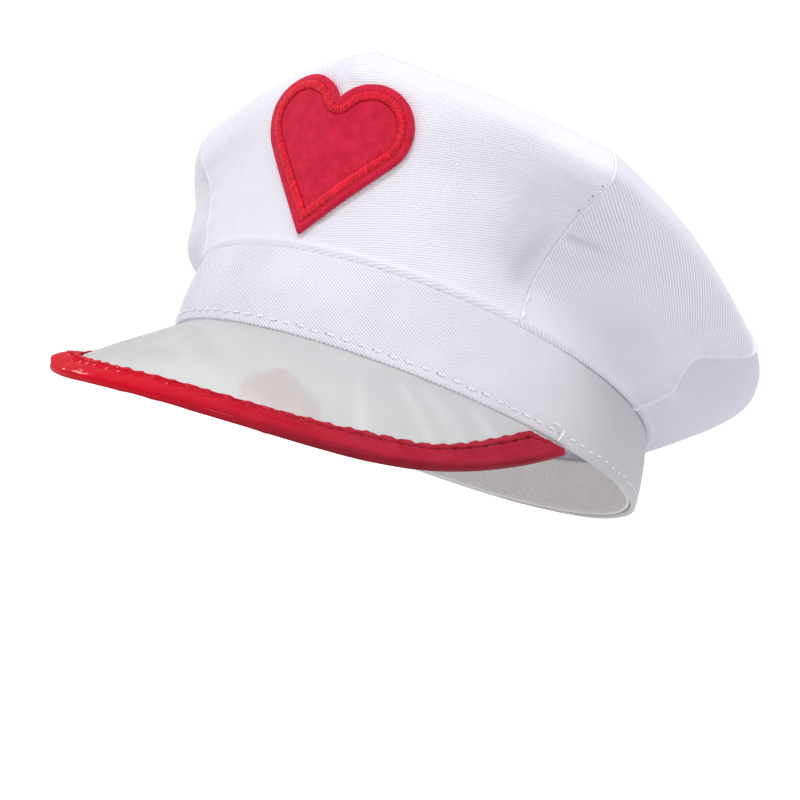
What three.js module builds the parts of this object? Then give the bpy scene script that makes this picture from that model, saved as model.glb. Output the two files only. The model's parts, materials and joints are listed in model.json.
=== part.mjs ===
import * as THREE from 'three';

// A nurse's costume cap: a soft crown of eight twill panels on a stiff band, with a clear visor
// whose edge is bound in red vinyl, and a red felt heart on the front.
// Millimetres and degrees. Angles run round the head from the front, towards the wearer's left.
// The cap is built round the rim of its band, front towards -Y, and then tipped back to lie
// as it would on a table, on the corners of its visor and the back of its band.

// Head opening and band
const rimHalfLength = 100;
const rimHalfWidth = 87.5;
const bandFrontHeight = 30.5;
const bandBackHeight = 21;
const bandLeftRise = 2.8;
const bandLean = 2.8;
const bandShift = 2.2;
const bandBulge = 0.8;
const bandWall = 2;
const sweatbandWall = 1.2;
const sweatbandFootRise = 1.5;
const sweatbandTopDrop = 3;
const layerClearance = 0.4;

// Crown
const crownReach = 130;
const crownRise = 103;
const crownApexRise = 98;
const crownWall = 1.2;
const crownTipRadius = 1.6;
const seamGap = 0.3;
const seatClearance = 0.3;

// Visor and its binding
const visorHalfAngle = 71;
const visorReach = 72;
const visorSquareness = 6.57;
const visorDrop = 36;
const visorDropLoss = 7.9;
const visorSheet = 1;
const visorEndWidth = 2.5;
const bindingWidth = 13;
const bindingWall = 0.8;
const bindingClearance = 0.3;
const bindingRootMargin = 3;

// Patch
const patchWidth = 60;
const patchHeight = 57;
const patchAngle = -5.5;
const patchRise = 63.5;
const patchLobeRadius = 16.2;
const patchEdgeRound = 0.1;
const patchThickness = 1.6;
const patchClearance = 0.7;
const patchBorderInset = 2.6;
const patchBorderWidth = 3.4;
const patchBorderRelief = 0.9;

// Mesh fineness
const stationsPerSpan = 4;
const stripsPerPanel = 8;
const ringSides = 64;
const bindingSteps = 46;
const visorRows = 4;
const lobeSteps = 11;
const notchSteps = 3;
const sideSteps = 6;

// Crown sections: one row for each seam and for the middle of each panel, going round the head.
// Each point of a section is [out, up]: out is a share of crownReach, up of crownRise.
// The foot is on the band and the last point is the apex, so neither is listed.
const crownSections = [
  { at: 'front seam', angle: -6,
    sag: [0.750, 0.437], flank: [0.769, 0.660], lip: [0.785, 0.972], crest: [0.708, 1.036] },
  { at: 'panel 1', angle: 20,
    sag: [0.727, 0.456], flank: [0.754, 0.660], lip: [0.792, 0.913], crest: [0.715, 0.995] },
  { at: 'left front seam', angle: 46,
    sag: [0.665, 0.466], flank: [0.792, 0.641], lip: [0.996, 0.786], crest: [0.908, 0.896] },
  { at: 'panel 2', angle: 70,
    sag: [0.700, 0.408], flank: [0.792, 0.544], lip: [0.885, 0.728], crest: [0.815, 0.818] },
  { at: 'left seam', angle: 95,
    sag: [0.715, 0.360], flank: [0.746, 0.500], lip: [0.908, 0.573], crest: [0.846, 0.670] },
  { at: 'panel 3', angle: 117,
    sag: [0.746, 0.318], flank: [0.831, 0.395], lip: [0.900, 0.534], crest: [0.823, 0.670] },
  { at: 'left back seam', angle: 138,
    sag: [0.723, 0.268], flank: [0.792, 0.425], lip: [0.915, 0.544], crest: [0.846, 0.660] },
  { at: 'panel 4', angle: 160,
    sag: [0.785, 0.280], flank: [0.854, 0.390], lip: [0.885, 0.524], crest: [0.800, 0.660] },
  { at: 'back seam', angle: 182,
    sag: [0.762, 0.300], flank: [0.800, 0.400], lip: [0.908, 0.505], crest: [0.831, 0.631] },
  { at: 'panel 5', angle: 204,
    sag: [0.777, 0.252], flank: [0.846, 0.369], lip: [0.877, 0.524], crest: [0.800, 0.650] },
  { at: 'right back seam', angle: 226,
    sag: [0.715, 0.300], flank: [0.769, 0.408], lip: [0.885, 0.524], crest: [0.815, 0.650] },
  { at: 'panel 6', angle: 248,
    sag: [0.730, 0.272], flank: [0.800, 0.398], lip: [0.838, 0.553], crest: [0.762, 0.690] },
  { at: 'right seam', angle: 270,
    sag: [0.685, 0.310], flank: [0.730, 0.427], lip: [0.838, 0.563], crest: [0.777, 0.700] },
  { at: 'panel 7', angle: 292,
    sag: [0.746, 0.300], flank: [0.772, 0.450], lip: [0.819, 0.612], crest: [0.777, 0.738] },
  { at: 'right front seam', angle: 315,
    sag: [0.730, 0.360], flank: [0.758, 0.485], lip: [0.827, 0.612], crest: [0.780, 0.767] },
  { at: 'panel 8', angle: 334,
    sag: [0.746, 0.437], flank: [0.762, 0.641], lip: [0.777, 0.816], crest: [0.723, 0.934] },
];
const panelCount = crownSections.length / 2;

// Folds and dents pressed into the crown. depth is a share of crownReach, outward when positive,
// up and height are shares of crownRise, and angle and width are degrees.
const crownFolds = [
  { at: 'soft fold on panel 1', angle: 33, width: 6, up: 0.66, height: 0.22, depth: 0.018 },
  { at: 'valley beside that fold', angle: 23, width: 6, up: 0.70, height: 0.22, depth: -0.010 },
  { at: 'dent on panel 2', angle: 66, width: 9, up: 0.44, height: 0.10, depth: -0.022 },
  { at: 'valley on panel 8', angle: 324, width: 5, up: 0.62, height: 0.16, depth: -0.014 },
];

const degrees = Math.PI / 180;

// Points round the head at a radius and a height
function polar(angle, radius, height) {
  return new THREE.Vector3(
    radius * Math.sin(angle * degrees),
    -radius * Math.cos(angle * degrees),
    height,
  );
}

// Distance from the axis to an ellipse in the direction of an angle
function ellipseRadius(angle, halfLength, halfWidth) {
  const across = Math.sin(angle * degrees) / halfWidth;
  const along = Math.cos(angle * degrees) / halfLength;
  return 1 / Math.hypot(across, along);
}

// Top edge of the band over a point of the rim: high at the front, low at the back
function bandTop(angle) {
  const ahead = Math.cos(angle * degrees);
  const aside = Math.sin(angle * degrees);
  const level = (bandFrontHeight + bandBackHeight) / 2;
  return level + (bandFrontHeight - bandBackHeight) / 2 * ahead + bandLeftRise * aside;
}

// Outside of the band at a share of its height, shrunk inward by a depth
function bandPoint(angle, share, depth) {
  const lean = bandLean * share - bandBulge * Math.sin(Math.PI * share);
  const halfWidth = rimHalfWidth - lean - depth;
  const radius = ellipseRadius(angle, rimHalfLength - lean - depth, halfWidth);
  const sideways = bandShift * share * Math.sin(angle * degrees) * (radius / halfWidth) ** 2;
  return polar(angle, radius - sideways, bandTop(angle) * share);
}

// A closed solid from two grids of points, outside and inside, joined along their edges.
// Each grid is outer[row][column], with its rows running left to right seen from outside
// and its first row at the bottom. A round grid joins its last column to its first, and
// a grid with a pole draws its last row together to one point.
function solidBetween(outer, inner, { round = false, pole = false } = {}) {
  const rows = outer.length;
  const columns = outer[0].length;
  const positions = [...outer.flat(), ...inner.flat()].flatMap((point) => point.toArray());
  const triangles = [];
  const index = (side, row, column) => (
    side * rows * columns + row * columns + (pole && row === rows - 1 ? 0 : column % columns)
  );
  const triangle = (a, b, c) => {
    if (a !== b && b !== c && c !== a) triangles.push(a, b, c);
  };
  const quad = (a, b, c, d) => {
    triangle(a, b, c);
    triangle(a, c, d);
  };
  const lastColumn = round ? columns : columns - 1;
  for (let row = 0; row + 1 < rows; row += 1) {
    for (let column = 0; column < lastColumn; column += 1) {
      quad(index(0, row, column), index(0, row, column + 1),
        index(0, row + 1, column + 1), index(0, row + 1, column));
      quad(index(1, row, column), index(1, row + 1, column),
        index(1, row + 1, column + 1), index(1, row, column + 1));
    }
  }
  for (let column = 0; column < lastColumn; column += 1) {
    quad(index(0, 0, column), index(1, 0, column), index(1, 0, column + 1), index(0, 0, column + 1));
    if (!pole) {
      quad(index(0, rows - 1, column), index(0, rows - 1, column + 1),
        index(1, rows - 1, column + 1), index(1, rows - 1, column));
    }
  }
  if (!round) {
    const end = columns - 1;
    for (let row = 0; row + 1 < rows; row += 1) {
      quad(index(0, row, 0), index(0, row + 1, 0), index(1, row + 1, 0), index(1, row, 0));
      quad(index(0, row, end), index(1, row, end), index(1, row + 1, end), index(0, row + 1, end));
    }
  }
  const geometry = new THREE.BufferGeometry();
  geometry.setAttribute('position', new THREE.Float32BufferAttribute(positions, 3));
  geometry.setIndex(triangles);
  geometry.computeVertexNormals();
  return geometry;
}

// The radius and height of one crown section at each station from foot to apex
function sectionStations(section) {
  const foot = bandPoint(section.angle, 1, seatClearance);
  const points = [
    new THREE.Vector3(Math.hypot(foot.x, foot.y), 0, foot.z + seatClearance),
    ...[section.sag, section.flank, section.lip, section.crest].map(
      ([out, up]) => new THREE.Vector3(out * crownReach, 0, up * crownRise),
    ),
    new THREE.Vector3(crownTipRadius, 0, crownApexRise),
  ];
  const curve = new THREE.CatmullRomCurve3(points, false, 'centripetal');
  return curve.getPoints(stationsPerSpan * (points.length - 1));
}
const stations = crownSections.map(sectionStations);
const stationCount = stations[0].length;

function foldOffset(angle, height) {
  let offset = 0;
  for (const fold of crownFolds) {
    const turn = ((angle - fold.angle + 540) % 360) - 180;
    const across = turn / fold.width;
    const along = (height / crownRise - fold.up) / fold.height;
    offset += fold.depth * crownReach * Math.exp(-across * across - along * along);
  }
  return offset;
}

// Values at the start, middle and end of a panel, blended smoothly at a share of its width
function blend(start, middle, end, share) {
  return start * (1 - share) * (1 - 2 * share) + middle * 4 * share * (1 - share)
    + end * share * (2 * share - 1);
}

// Outside of the crown on one panel: share across the panel, station from foot to apex.
// A station may be a fraction.
function crownSurface(panel, share, station) {
  const rows = [0, 1, 2].map((step) => (2 * panel + step) % crownSections.length);
  const wrap = 2 * panel + 2 === crownSections.length ? 360 : 0;
  const [a0, a1, a2] = rows.map((row) => crownSections[row].angle);
  const angle = blend(a0, a1, a2 + wrap, share);
  const low = Math.min(Math.floor(station), stationCount - 2);
  const rest = station - low;
  const at = (row, axis) => stations[row][low][axis] * (1 - rest) + stations[row][low + 1][axis] * rest;
  const radius = blend(at(rows[0], 'x'), at(rows[1], 'x'), at(rows[2], 'x'), share);
  const height = blend(at(rows[0], 'z'), at(rows[1], 'z'), at(rows[2], 'z'), share);
  const settled = Math.min(1, station / stationsPerSpan);
  return { angle, radius: radius + foldOffset(angle, height) * settled, height };
}

function crownPoint(panel, share, station) {
  const { angle, radius, height } = crownSurface(panel, share, station);
  const point = polar(angle, radius, height);
  const aside = polar(angle + 90, 1, 0);
  return point.addScaledVector(aside, seamGap / 2 * (1 - 2 * share));
}

// From the outside of the crown to its inside. At a seam this stays in the seam's own plane,
// so that neighbouring panels meet in a mitre.
function crownInward(panel, share, station) {
  const small = 0.01;
  const left = Math.max(0, share - small);
  const right = Math.min(1, share + small);
  const below = Math.max(0, station - small);
  const above = Math.min(stationCount - 1, station + small);
  const across = crownPoint(panel, right, station).sub(crownPoint(panel, left, station));
  const along = crownPoint(panel, share, above).sub(crownPoint(panel, share, below));
  const inward = across.cross(along).normalize().negate();
  if (share === 0 || share === 1) {
    const aside = polar(crownSurface(panel, share, station).angle + 90, 1, 0);
    inward.addScaledVector(aside, -inward.dot(aside));
    inward.multiplyScalar(1 / inward.lengthSq());
  }
  return inward.multiplyScalar(crownWall);
}

function crownPanelGeometry(panel) {
  const outer = [];
  const inner = [];
  for (let station = 0; station < stationCount; station += 1) {
    const outerRow = [];
    const innerRow = [];
    for (let strip = 0; strip <= stripsPerPanel; strip += 1) {
      const share = strip / stripsPerPanel;
      const point = crownPoint(panel, share, station);
      outerRow.push(point);
      innerRow.push(point.clone().add(crownInward(panel, share, station)));
    }
    outer.push(outerRow);
    inner.push(innerRow);
  }
  return solidBetween(outer, inner);
}

// A ring of cloth that follows the band, from one share of its height to another
function ringGeometry(shares, depth, wall) {
  const grid = (inset) => shares.map((share) => Array.from({ length: ringSides }, (_, side) => (
    bandPoint(360 * side / ringSides, share, inset)
  )));
  return solidBetween(grid(depth), grid(depth + wall), { round: true });
}

// Visor. Its sheet is ruled: straight lines run forward and down from the rim.
const visorRootDrop = seatClearance + visorSheet;

function rimLine(x) {
  return -rimHalfLength * Math.sqrt(1 - (x / rimHalfWidth) ** 2);
}

function visorShare(x) {
  return Math.asin(x / rimHalfWidth) / (visorHalfAngle * degrees);
}

function visorHeight(x, y) {
  const drop = visorDrop - visorDropLoss * visorShare(x) ** 2;
  return -(rimLine(x) - y) * Math.tan(drop * degrees) - visorRootDrop;
}

function visorNormal(x, y) {
  const small = 0.05;
  const slopeX = (visorHeight(x + small, y) - visorHeight(x - small, y)) / (2 * small);
  const slopeY = (visorHeight(x, y + small) - visorHeight(x, y - small)) / (2 * small);
  return new THREE.Vector3(-slopeX, -slopeY, 1).normalize();
}

// Free edge of the visor in plan, evenly spaced from the wearer's right to the left
function visorOutline(steps) {
  const fine = 600;
  const points = [];
  for (let step = 0; step <= fine; step += 1) {
    const sweep = Math.PI * (step / fine - 0.5);
    const side = Math.sign(sweep) * Math.abs(Math.sin(sweep)) ** (2 / visorSquareness);
    const width = visorReach * Math.cos(sweep);
    if (width >= visorEndWidth) {
      const x = rimHalfWidth * Math.sin(side * visorHalfAngle * degrees);
      const drop = visorDrop - visorDropLoss * side * side;
      points.push(new THREE.Vector3(x, rimLine(x) - width * Math.cos(drop * degrees), 0));
    }
  }
  const path = new THREE.CurvePath();
  for (let step = 0; step + 1 < points.length; step += 1) {
    path.add(new THREE.LineCurve3(points[step], points[step + 1]));
  }
  return path.getSpacedPoints(steps);
}

function visorGeometry() {
  const outline = visorOutline(bindingSteps);
  const grid = (side) => {
    const rows = [];
    for (let row = 0; row < visorRows; row += 1) {
      const share = row / (visorRows - 1);
      rows.push(outline.map((edge) => {
        const y = edge.y + (rimLine(edge.x) - edge.y) * share;
        const point = new THREE.Vector3(edge.x, y, visorHeight(edge.x, y));
        return point.addScaledVector(visorNormal(edge.x, y), side * visorSheet / 2);
      }));
    }
    return rows;
  };
  return solidBetween(grid(1), grid(-1));
}

// Vinyl folded over the free edge of the visor: a hairpin section swept round the outline
function bindingGeometry() {
  const outline = visorOutline(bindingSteps);
  const slot = visorSheet / 2 + bindingClearance;
  const skin = slot + bindingWall;
  const reachShares = [0, 0.5, 1];
  const rows = (half, nose) => [
    ...reachShares.slice().reverse().map((share) => ({ share, lift: -half })),
    { nose, lift: -half * 0.5 },
    { nose: nose * 1.25, lift: 0 },
    { nose, lift: half * 0.5 },
    ...reachShares.map((share) => ({ share, lift: half })),
  ];
  const sections = outline.map((edge, step) => {
    const before = outline[Math.max(0, step - 1)];
    const after = outline[Math.min(outline.length - 1, step + 1)];
    const inward = new THREE.Vector3(-(after.y - before.y), after.x - before.x, 0).normalize();
    let reach = 0;
    const slope = (distance) => {
      const x = edge.x + inward.x * distance;
      const y = edge.y + inward.y * distance;
      return visorHeight(x, y);
    };
    const stride = 0.25;
    let length = 0;
    while (length < bindingWidth) {
      const x = edge.x + inward.x * (reach + stride);
      const y = edge.y + inward.y * (reach + stride);
      if (Math.abs(x) >= rimHalfWidth || rimLine(x) - y < bindingRootMargin) break;
      length += Math.hypot(stride, slope(reach + stride) - slope(reach));
      reach += stride;
    }
    return { edge, inward, reach: Math.max(reach, stride) };
  });
  const grid = (half, nose) => rows(half, nose).map((row) => sections.map(({ edge, inward, reach }) => {
    const distance = row.share === undefined ? 0 : row.share * reach;
    const x = edge.x + inward.x * distance;
    const y = edge.y + inward.y * distance;
    const point = new THREE.Vector3(x, y, visorHeight(x, y));
    const normal = visorNormal(x, y);
    point.addScaledVector(normal, row.lift);
    if (row.nose !== undefined) {
      const outward = inward.clone().negate();
      outward.addScaledVector(normal, -outward.dot(normal)).normalize();
      point.addScaledVector(outward, row.nose);
    }
    return point;
  }));
  return solidBetween(grid(skin, bindingClearance + bindingWall), grid(slot, bindingClearance));
}

// Patch: a heart of two round lobes that run straight down to a point. Its outline is drawn
// in by an inset, and its middle is the middle of its height and width.
const lobeAside = patchWidth / 2 - patchLobeRadius;
const tipDrop = patchHeight - patchLobeRadius;
const notchTurn = Math.acos(-lobeAside / patchLobeRadius);
const tipTurn = Math.atan(lobeAside / tipDrop)
  + Math.asin(patchLobeRadius / Math.hypot(lobeAside, tipDrop));

function arcPoints(x, y, radius, from, to, steps) {
  return Array.from({ length: steps + 1 }, (_, step) => {
    const turn = from + (to - from) * step / steps;
    return new THREE.Vector2(x + radius * Math.cos(turn), y + radius * Math.sin(turn));
  });
}

function heartOutline(inset) {
  const notchHeight = patchLobeRadius * Math.sin(notchTurn);
  const lobe = arcPoints(lobeAside, 0, patchLobeRadius - inset, -tipTurn, notchTurn, lobeSteps);
  const notch = arcPoints(0, notchHeight, inset, notchTurn - Math.PI, -Math.PI / 2, notchSteps);
  const tip = new THREE.Vector2(0, inset / Math.sin(tipTurn) - tipDrop);
  const side = Array.from({ length: sideSteps }, (_, step) => (
    tip.clone().lerp(lobe[0], step / sideSteps)
  ));
  const right = [...side, ...lobe, ...notch.slice(1)];
  const left = right.slice(1, -1).reverse().map((point) => new THREE.Vector2(-point.x, point.y));
  const middle = (patchLobeRadius - tipDrop) / 2;
  return [...right, ...left].map((point) => new THREE.Vector2(point.x, point.y - middle));
}

// Outside of the crown's front wall at an angle and a height
function frontWall(angle, height) {
  const turned = (angle + 720) % 360;
  const panel = turned > crownSections[0].angle + 360 || turned < 180 ? 0 : panelCount - 1;
  const aim = panel === 0 && turned > 180 ? turned - 360 : turned;
  let low = 0;
  let high = 1;
  while (high - low > 1e-4) {
    const middle = (low + high) / 2;
    if (crownSurface(panel, middle, 0).angle < aim) low = middle;
    else high = middle;
  }
  let foot = 0;
  let top = stationsPerSpan * 3;
  while (top - foot > 1e-3) {
    const middle = (foot + top) / 2;
    if (crownSurface(panel, low, middle).height < height) foot = middle;
    else top = middle;
  }
  return crownSurface(panel, low, foot).radius;
}

// A point of the patch's plane laid round the crown's front, lifted off the cloth
function onPatch(across, up, lift) {
  const height = patchRise + up;
  const middleRadius = frontWall(patchAngle, patchRise);
  const angle = patchAngle + across / middleRadius / degrees;
  return polar(angle, frontWall(angle, height) + patchClearance + lift, height);
}

function heartLoop(inset, lift, size = 1) {
  return heartOutline(inset).map((point) => onPatch(point.x * size, point.y * size, lift));
}

function patchGeometry() {
  const inmost = patchBorderInset + patchBorderWidth;
  const grid = (lift) => [
    heartLoop(patchEdgeRound, lift),
    heartLoop(inmost, lift),
    heartLoop(inmost, lift, 0.5),
    heartLoop(inmost, lift, 0),
  ];
  return solidBetween(grid(patchThickness), grid(0), { round: true, pole: true });
}

// Ridge of satin stitches just inside the edge of the patch
function patchBorderGeometry() {
  const base = patchThickness + seatClearance;
  const rows = [
    { across: 0, relief: 0.35 },
    { across: 0.28, relief: 1 },
    { across: 0.72, relief: 1 },
    { across: 1, relief: 0.35 },
  ];
  const grid = (full) => rows.map(({ across, relief }) => (
    heartLoop(patchBorderInset + patchBorderWidth * across, base + patchBorderRelief * relief * full)
  ));
  return solidBetween(grid(1), grid(0), { round: true });
}

const twill = { color: 0xf2f2f7, roughness: 0.75, metalness: 0 };
const clearVinyl = { color: 0xe9ecef, roughness: 0.12, metalness: 0, transparent: true, opacity: 0.4 };
const redVinyl = { color: 0xc8101e, roughness: 0.22, metalness: 0 };
const felt = { color: 0xc81c3c, roughness: 0.95, metalness: 0 };
const satinThread = { color: 0xe0202c, roughness: 0.5, metalness: 0 };

function piece(name, geometry, finish) {
  const mesh = new THREE.Mesh(geometry, new THREE.MeshStandardMaterial(finish));
  mesh.name = name;
  return mesh;
}

const bandShares = [0, 0.12, 0.5, 0.88, 1];
const sweatbandShares = [sweatbandFootRise / bandFrontHeight, 1 - sweatbandTopDrop / bandFrontHeight];

const band = piece('band', ringGeometry(bandShares, 0, bandWall), twill);
const binding = piece('visor_binding', bindingGeometry(), redVinyl);

// Lowest point of a piece once the cap is tipped back by a pitch
function lowest(mesh, pitch) {
  const position = mesh.geometry.getAttribute('position');
  let low = Infinity;
  for (let index = 0; index < position.count; index += 1) {
    low = Math.min(low, position.getZ(index) * Math.cos(pitch) - position.getY(index) * Math.sin(pitch));
  }
  return low;
}

// Pitch at which the visor's edge and the back of the band touch the table together
function restPitch() {
  let flat = 0;
  let steep = 45 * degrees;
  while (steep - flat > 1e-6) {
    const middle = (flat + steep) / 2;
    if (lowest(binding, middle) < lowest(band, middle)) flat = middle;
    else steep = middle;
  }
  return flat;
}

const worn = new THREE.Group();
for (let panel = 0; panel < panelCount; panel += 1) {
  worn.add(piece(`crown_panel_${panel + 1}`, crownPanelGeometry(panel), twill));
}
worn.add(band);
worn.add(piece('sweatband', ringGeometry(sweatbandShares, bandWall + layerClearance, sweatbandWall), twill));
worn.add(piece('visor', visorGeometry(), clearVinyl));
worn.add(binding);
worn.add(piece('emblem_patch', patchGeometry(), felt));
worn.add(piece('emblem_border', patchBorderGeometry(), satinThread));
worn.rotation.x = -restPitch();

// The origin is under the middle of the cap's box, on the table
const cap = new THREE.Group();
cap.add(worn);
const box = new THREE.Box3().setFromObject(cap, true);
worn.position.set(
  -(box.min.x + box.max.x) / 2,
  -(box.min.y + box.max.y) / 2,
  -box.min.z,
);

export default cap;
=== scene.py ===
import bisect
import json
import math
import random

import bmesh
import bpy
from mathutils import Matrix, Vector, noise


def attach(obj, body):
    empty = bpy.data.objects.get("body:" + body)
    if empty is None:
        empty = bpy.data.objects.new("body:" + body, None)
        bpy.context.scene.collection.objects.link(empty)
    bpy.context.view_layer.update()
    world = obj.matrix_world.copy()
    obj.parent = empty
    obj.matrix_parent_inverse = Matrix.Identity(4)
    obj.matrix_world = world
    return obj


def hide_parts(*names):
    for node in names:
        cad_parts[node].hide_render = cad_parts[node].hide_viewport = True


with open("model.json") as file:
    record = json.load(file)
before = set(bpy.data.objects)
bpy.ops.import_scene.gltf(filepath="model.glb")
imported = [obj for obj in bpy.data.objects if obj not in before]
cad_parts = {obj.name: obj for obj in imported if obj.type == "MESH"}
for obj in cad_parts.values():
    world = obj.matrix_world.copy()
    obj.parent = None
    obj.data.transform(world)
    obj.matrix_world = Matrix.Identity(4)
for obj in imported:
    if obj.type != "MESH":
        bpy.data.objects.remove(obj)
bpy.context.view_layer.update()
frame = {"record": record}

scene = bpy.context.scene
print("frame loaded")

# A nurse's costume cap: eight white twill panels on a band, a clear visor bound in red vinyl and
# a red felt heart. Shapes are worked out in the cap's own millimetres: the middle of the rim is
# the origin, the front is towards -Y, and angles run from the front to the wearer's left.
capRim = {
    "halfLength": 100.0,
    "halfWidth": 87.5,
    "mountPoint": (-4.845, 98.69, 0.0),   # where the record's band_rim mount is on the rim
}
rimMount = next(mount for mount in frame["record"]["mounts"] if mount["name"] == "band_rim")
restPitch = math.asin(-rimMount["axis"][1])
capToPart = Matrix.Rotation(-restPitch, 4, "X") @ Matrix.Scale(0.001, 4)
capToPart.translation = Vector(rimMount["pos_m"]) - capToPart @ Vector(capRim["mountPoint"])


def polar(angle, radius, height):
    turn = math.radians(angle)
    return Vector((radius * math.sin(turn), -radius * math.cos(turn), height))


def outwardAt(point):
    return Vector((point.x, point.y, 0)).normalized()


def mix(a, b, share):
    return a + (b - a) * share


def smoothStep(value):
    value = min(1.0, max(0.0, value))
    return value * value * (3 - 2 * value)


def bump(distance, width):
    return math.exp(-(distance / width) ** 2)


def runLengths(points):
    # Distances along a line of points, from its first
    lengths = [0.0]
    for a, b in zip(points, points[1:]):
        lengths.append(lengths[-1] + (b - a).length)
    return lengths


def findSpan(lengths, along):
    # The point that ends the span where a distance falls, and the share of that span before it
    place = min(max(bisect.bisect_left(lengths, along), 1), len(lengths) - 1)
    return place, (along - lengths[place - 1]) / (lengths[place] - lengths[place - 1])


# Camera and studio

cameraView = {
    "azimuth": 30.0,        # degrees, in the cap's own frame
    "elevation": -9.6,
    "roll": 20.54,
    "distance": 1100.0,     # mm from the middle of the rim
    "aim": (-1.9, 8.5),     # mm right of and above the middle of the rim
    "lens": 134.6,          # mm, on a 36 mm sensor
}


def makeCamera():
    azimuth = math.radians(cameraView["azimuth"])
    elevation = math.radians(cameraView["elevation"])
    roll = math.radians(cameraView["roll"])
    back = Vector((math.sin(azimuth) * math.cos(elevation),
                   -math.cos(azimuth) * math.cos(elevation), math.sin(elevation)))
    right = Vector((math.cos(azimuth), math.sin(azimuth), 0))
    up = back.cross(right)
    right, up = (right * math.cos(roll) + up * math.sin(roll),
                 up * math.cos(roll) - right * math.sin(roll))
    eye = capToPart @ (back * cameraView["distance"])
    target = capToPart @ (right * cameraView["aim"][0] + up * cameraView["aim"][1])
    turn = capToPart.to_3x3().normalized()
    back = (eye - target).normalized()
    right = (turn @ up).cross(back).normalized()
    data = bpy.data.cameras.new("productCamera")
    data.lens = cameraView["lens"]
    data.sensor_width = 36
    data.clip_start = 0.05
    data.clip_end = 100
    camera = bpy.data.objects.new("productCamera", data)
    camera.matrix_world = Matrix.Translation(eye) @ Matrix(
        (right, back.cross(right), back)).transposed().to_4x4()
    scene.collection.objects.link(camera)
    scene.camera = camera


studio = {
    # Name, strength, spread in degrees and where from. The rim one, from behind on the wearer's
    # right, gives the highlight at the tip of the visor's binding.
    "softBoxes": [
        ("keySoftBox", 1.0, 12.0, (-0.15, -1.35, 1.6)),
        ("topSoftBox", 0.42, 40.0, (0.75, -0.2, 1.6)),
        ("rimSoftBox", 0.16, 7.0, (-0.77, 0.45, 0.45)),
    ],
    "roomLight": 0.8,       # what the white room gives the cap
    "roomSeen": 1.05,       # what the camera sees of it
    "roomGloss": 0.65,      # what glossy surfaces mirror of it
    "roomThrough": 1.0,     # what shows through clear ones
    "floorRadius": 8.0,     # metres
    "floorColours": ("#F6F6F6", "#F8F8F8"), "floorGlow": 0.6,
}


def softBox(name, strength, spread, place):
    # A far soft box, as even over the floor as it is over the cap
    data = bpy.data.lights.new(name, "SUN")
    data.angle = math.radians(spread)
    data.energy = strength
    light = bpy.data.objects.new(name, data)
    light.location = place
    light.rotation_mode = "QUATERNION"
    light.rotation_quaternion = Vector(place).to_track_quat("Z", "Y")
    scene.collection.objects.link(light)


def linearColour(colour):
    channels = [int(colour[place:place + 2], 16) / 255 for place in (1, 3, 5)]
    return [c / 12.92 if c <= 0.04045 else ((c + 0.055) / 1.055) ** 2.4 for c in channels] + [1.0]


def addNode(tree, kind, inputs=None, **settings):
    node = tree.nodes.new(kind)
    for name, value in settings.items():
        setattr(node, name, value)
    for name, value in (inputs or {}).items():
        if isinstance(value, bpy.types.NodeSocket):
            tree.links.new(value, node.inputs[name])
        else:
            node.inputs[name].default_value = value
    return node


def newMaterial(name):
    material = bpy.data.materials.new(name)
    material.use_nodes = True
    material.node_tree.nodes.clear()
    return material, material.node_tree


def objectPlace(tree):
    return addNode(tree, "ShaderNodeTexCoord").outputs["Object"]


def attributeValue(tree, name):
    return addNode(tree, "ShaderNodeAttribute", attribute_name=name).outputs["Fac"]


def noiseValue(tree, place, scale, detail=2.0, roughness=0.5, distortion=0.0):
    return addNode(tree, "ShaderNodeTexNoise", {
        "Vector": place, "Scale": scale, "Detail": detail, "Roughness": roughness,
        "Distortion": distortion}).outputs["Fac"]


def mathValue(tree, operation, *values):
    return addNode(tree, "ShaderNodeMath", dict(enumerate(values)),
                   operation=operation).outputs["Value"]


def mixColours(tree, share, *colours):
    # From the first colour to the second; each is a hex colour or a socket
    a, b = (linearColour(colour) if isinstance(colour, str) else colour for colour in colours)
    return addNode(tree, "ShaderNodeMix", {"Factor": share, "A": a, "B": b},
                   data_type="RGBA").outputs["Result"]


def bumpNormal(tree, height, distance, strength):
    return addNode(tree, "ShaderNodeBump", {
        "Height": height, "Distance": distance, "Strength": strength}).outputs["Normal"]


def finishSurface(tree, inputs):
    surface = addNode(tree, "ShaderNodeBsdfPrincipled", inputs)
    addNode(tree, "ShaderNodeOutputMaterial", {"Surface": surface.outputs["BSDF"]})


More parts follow.
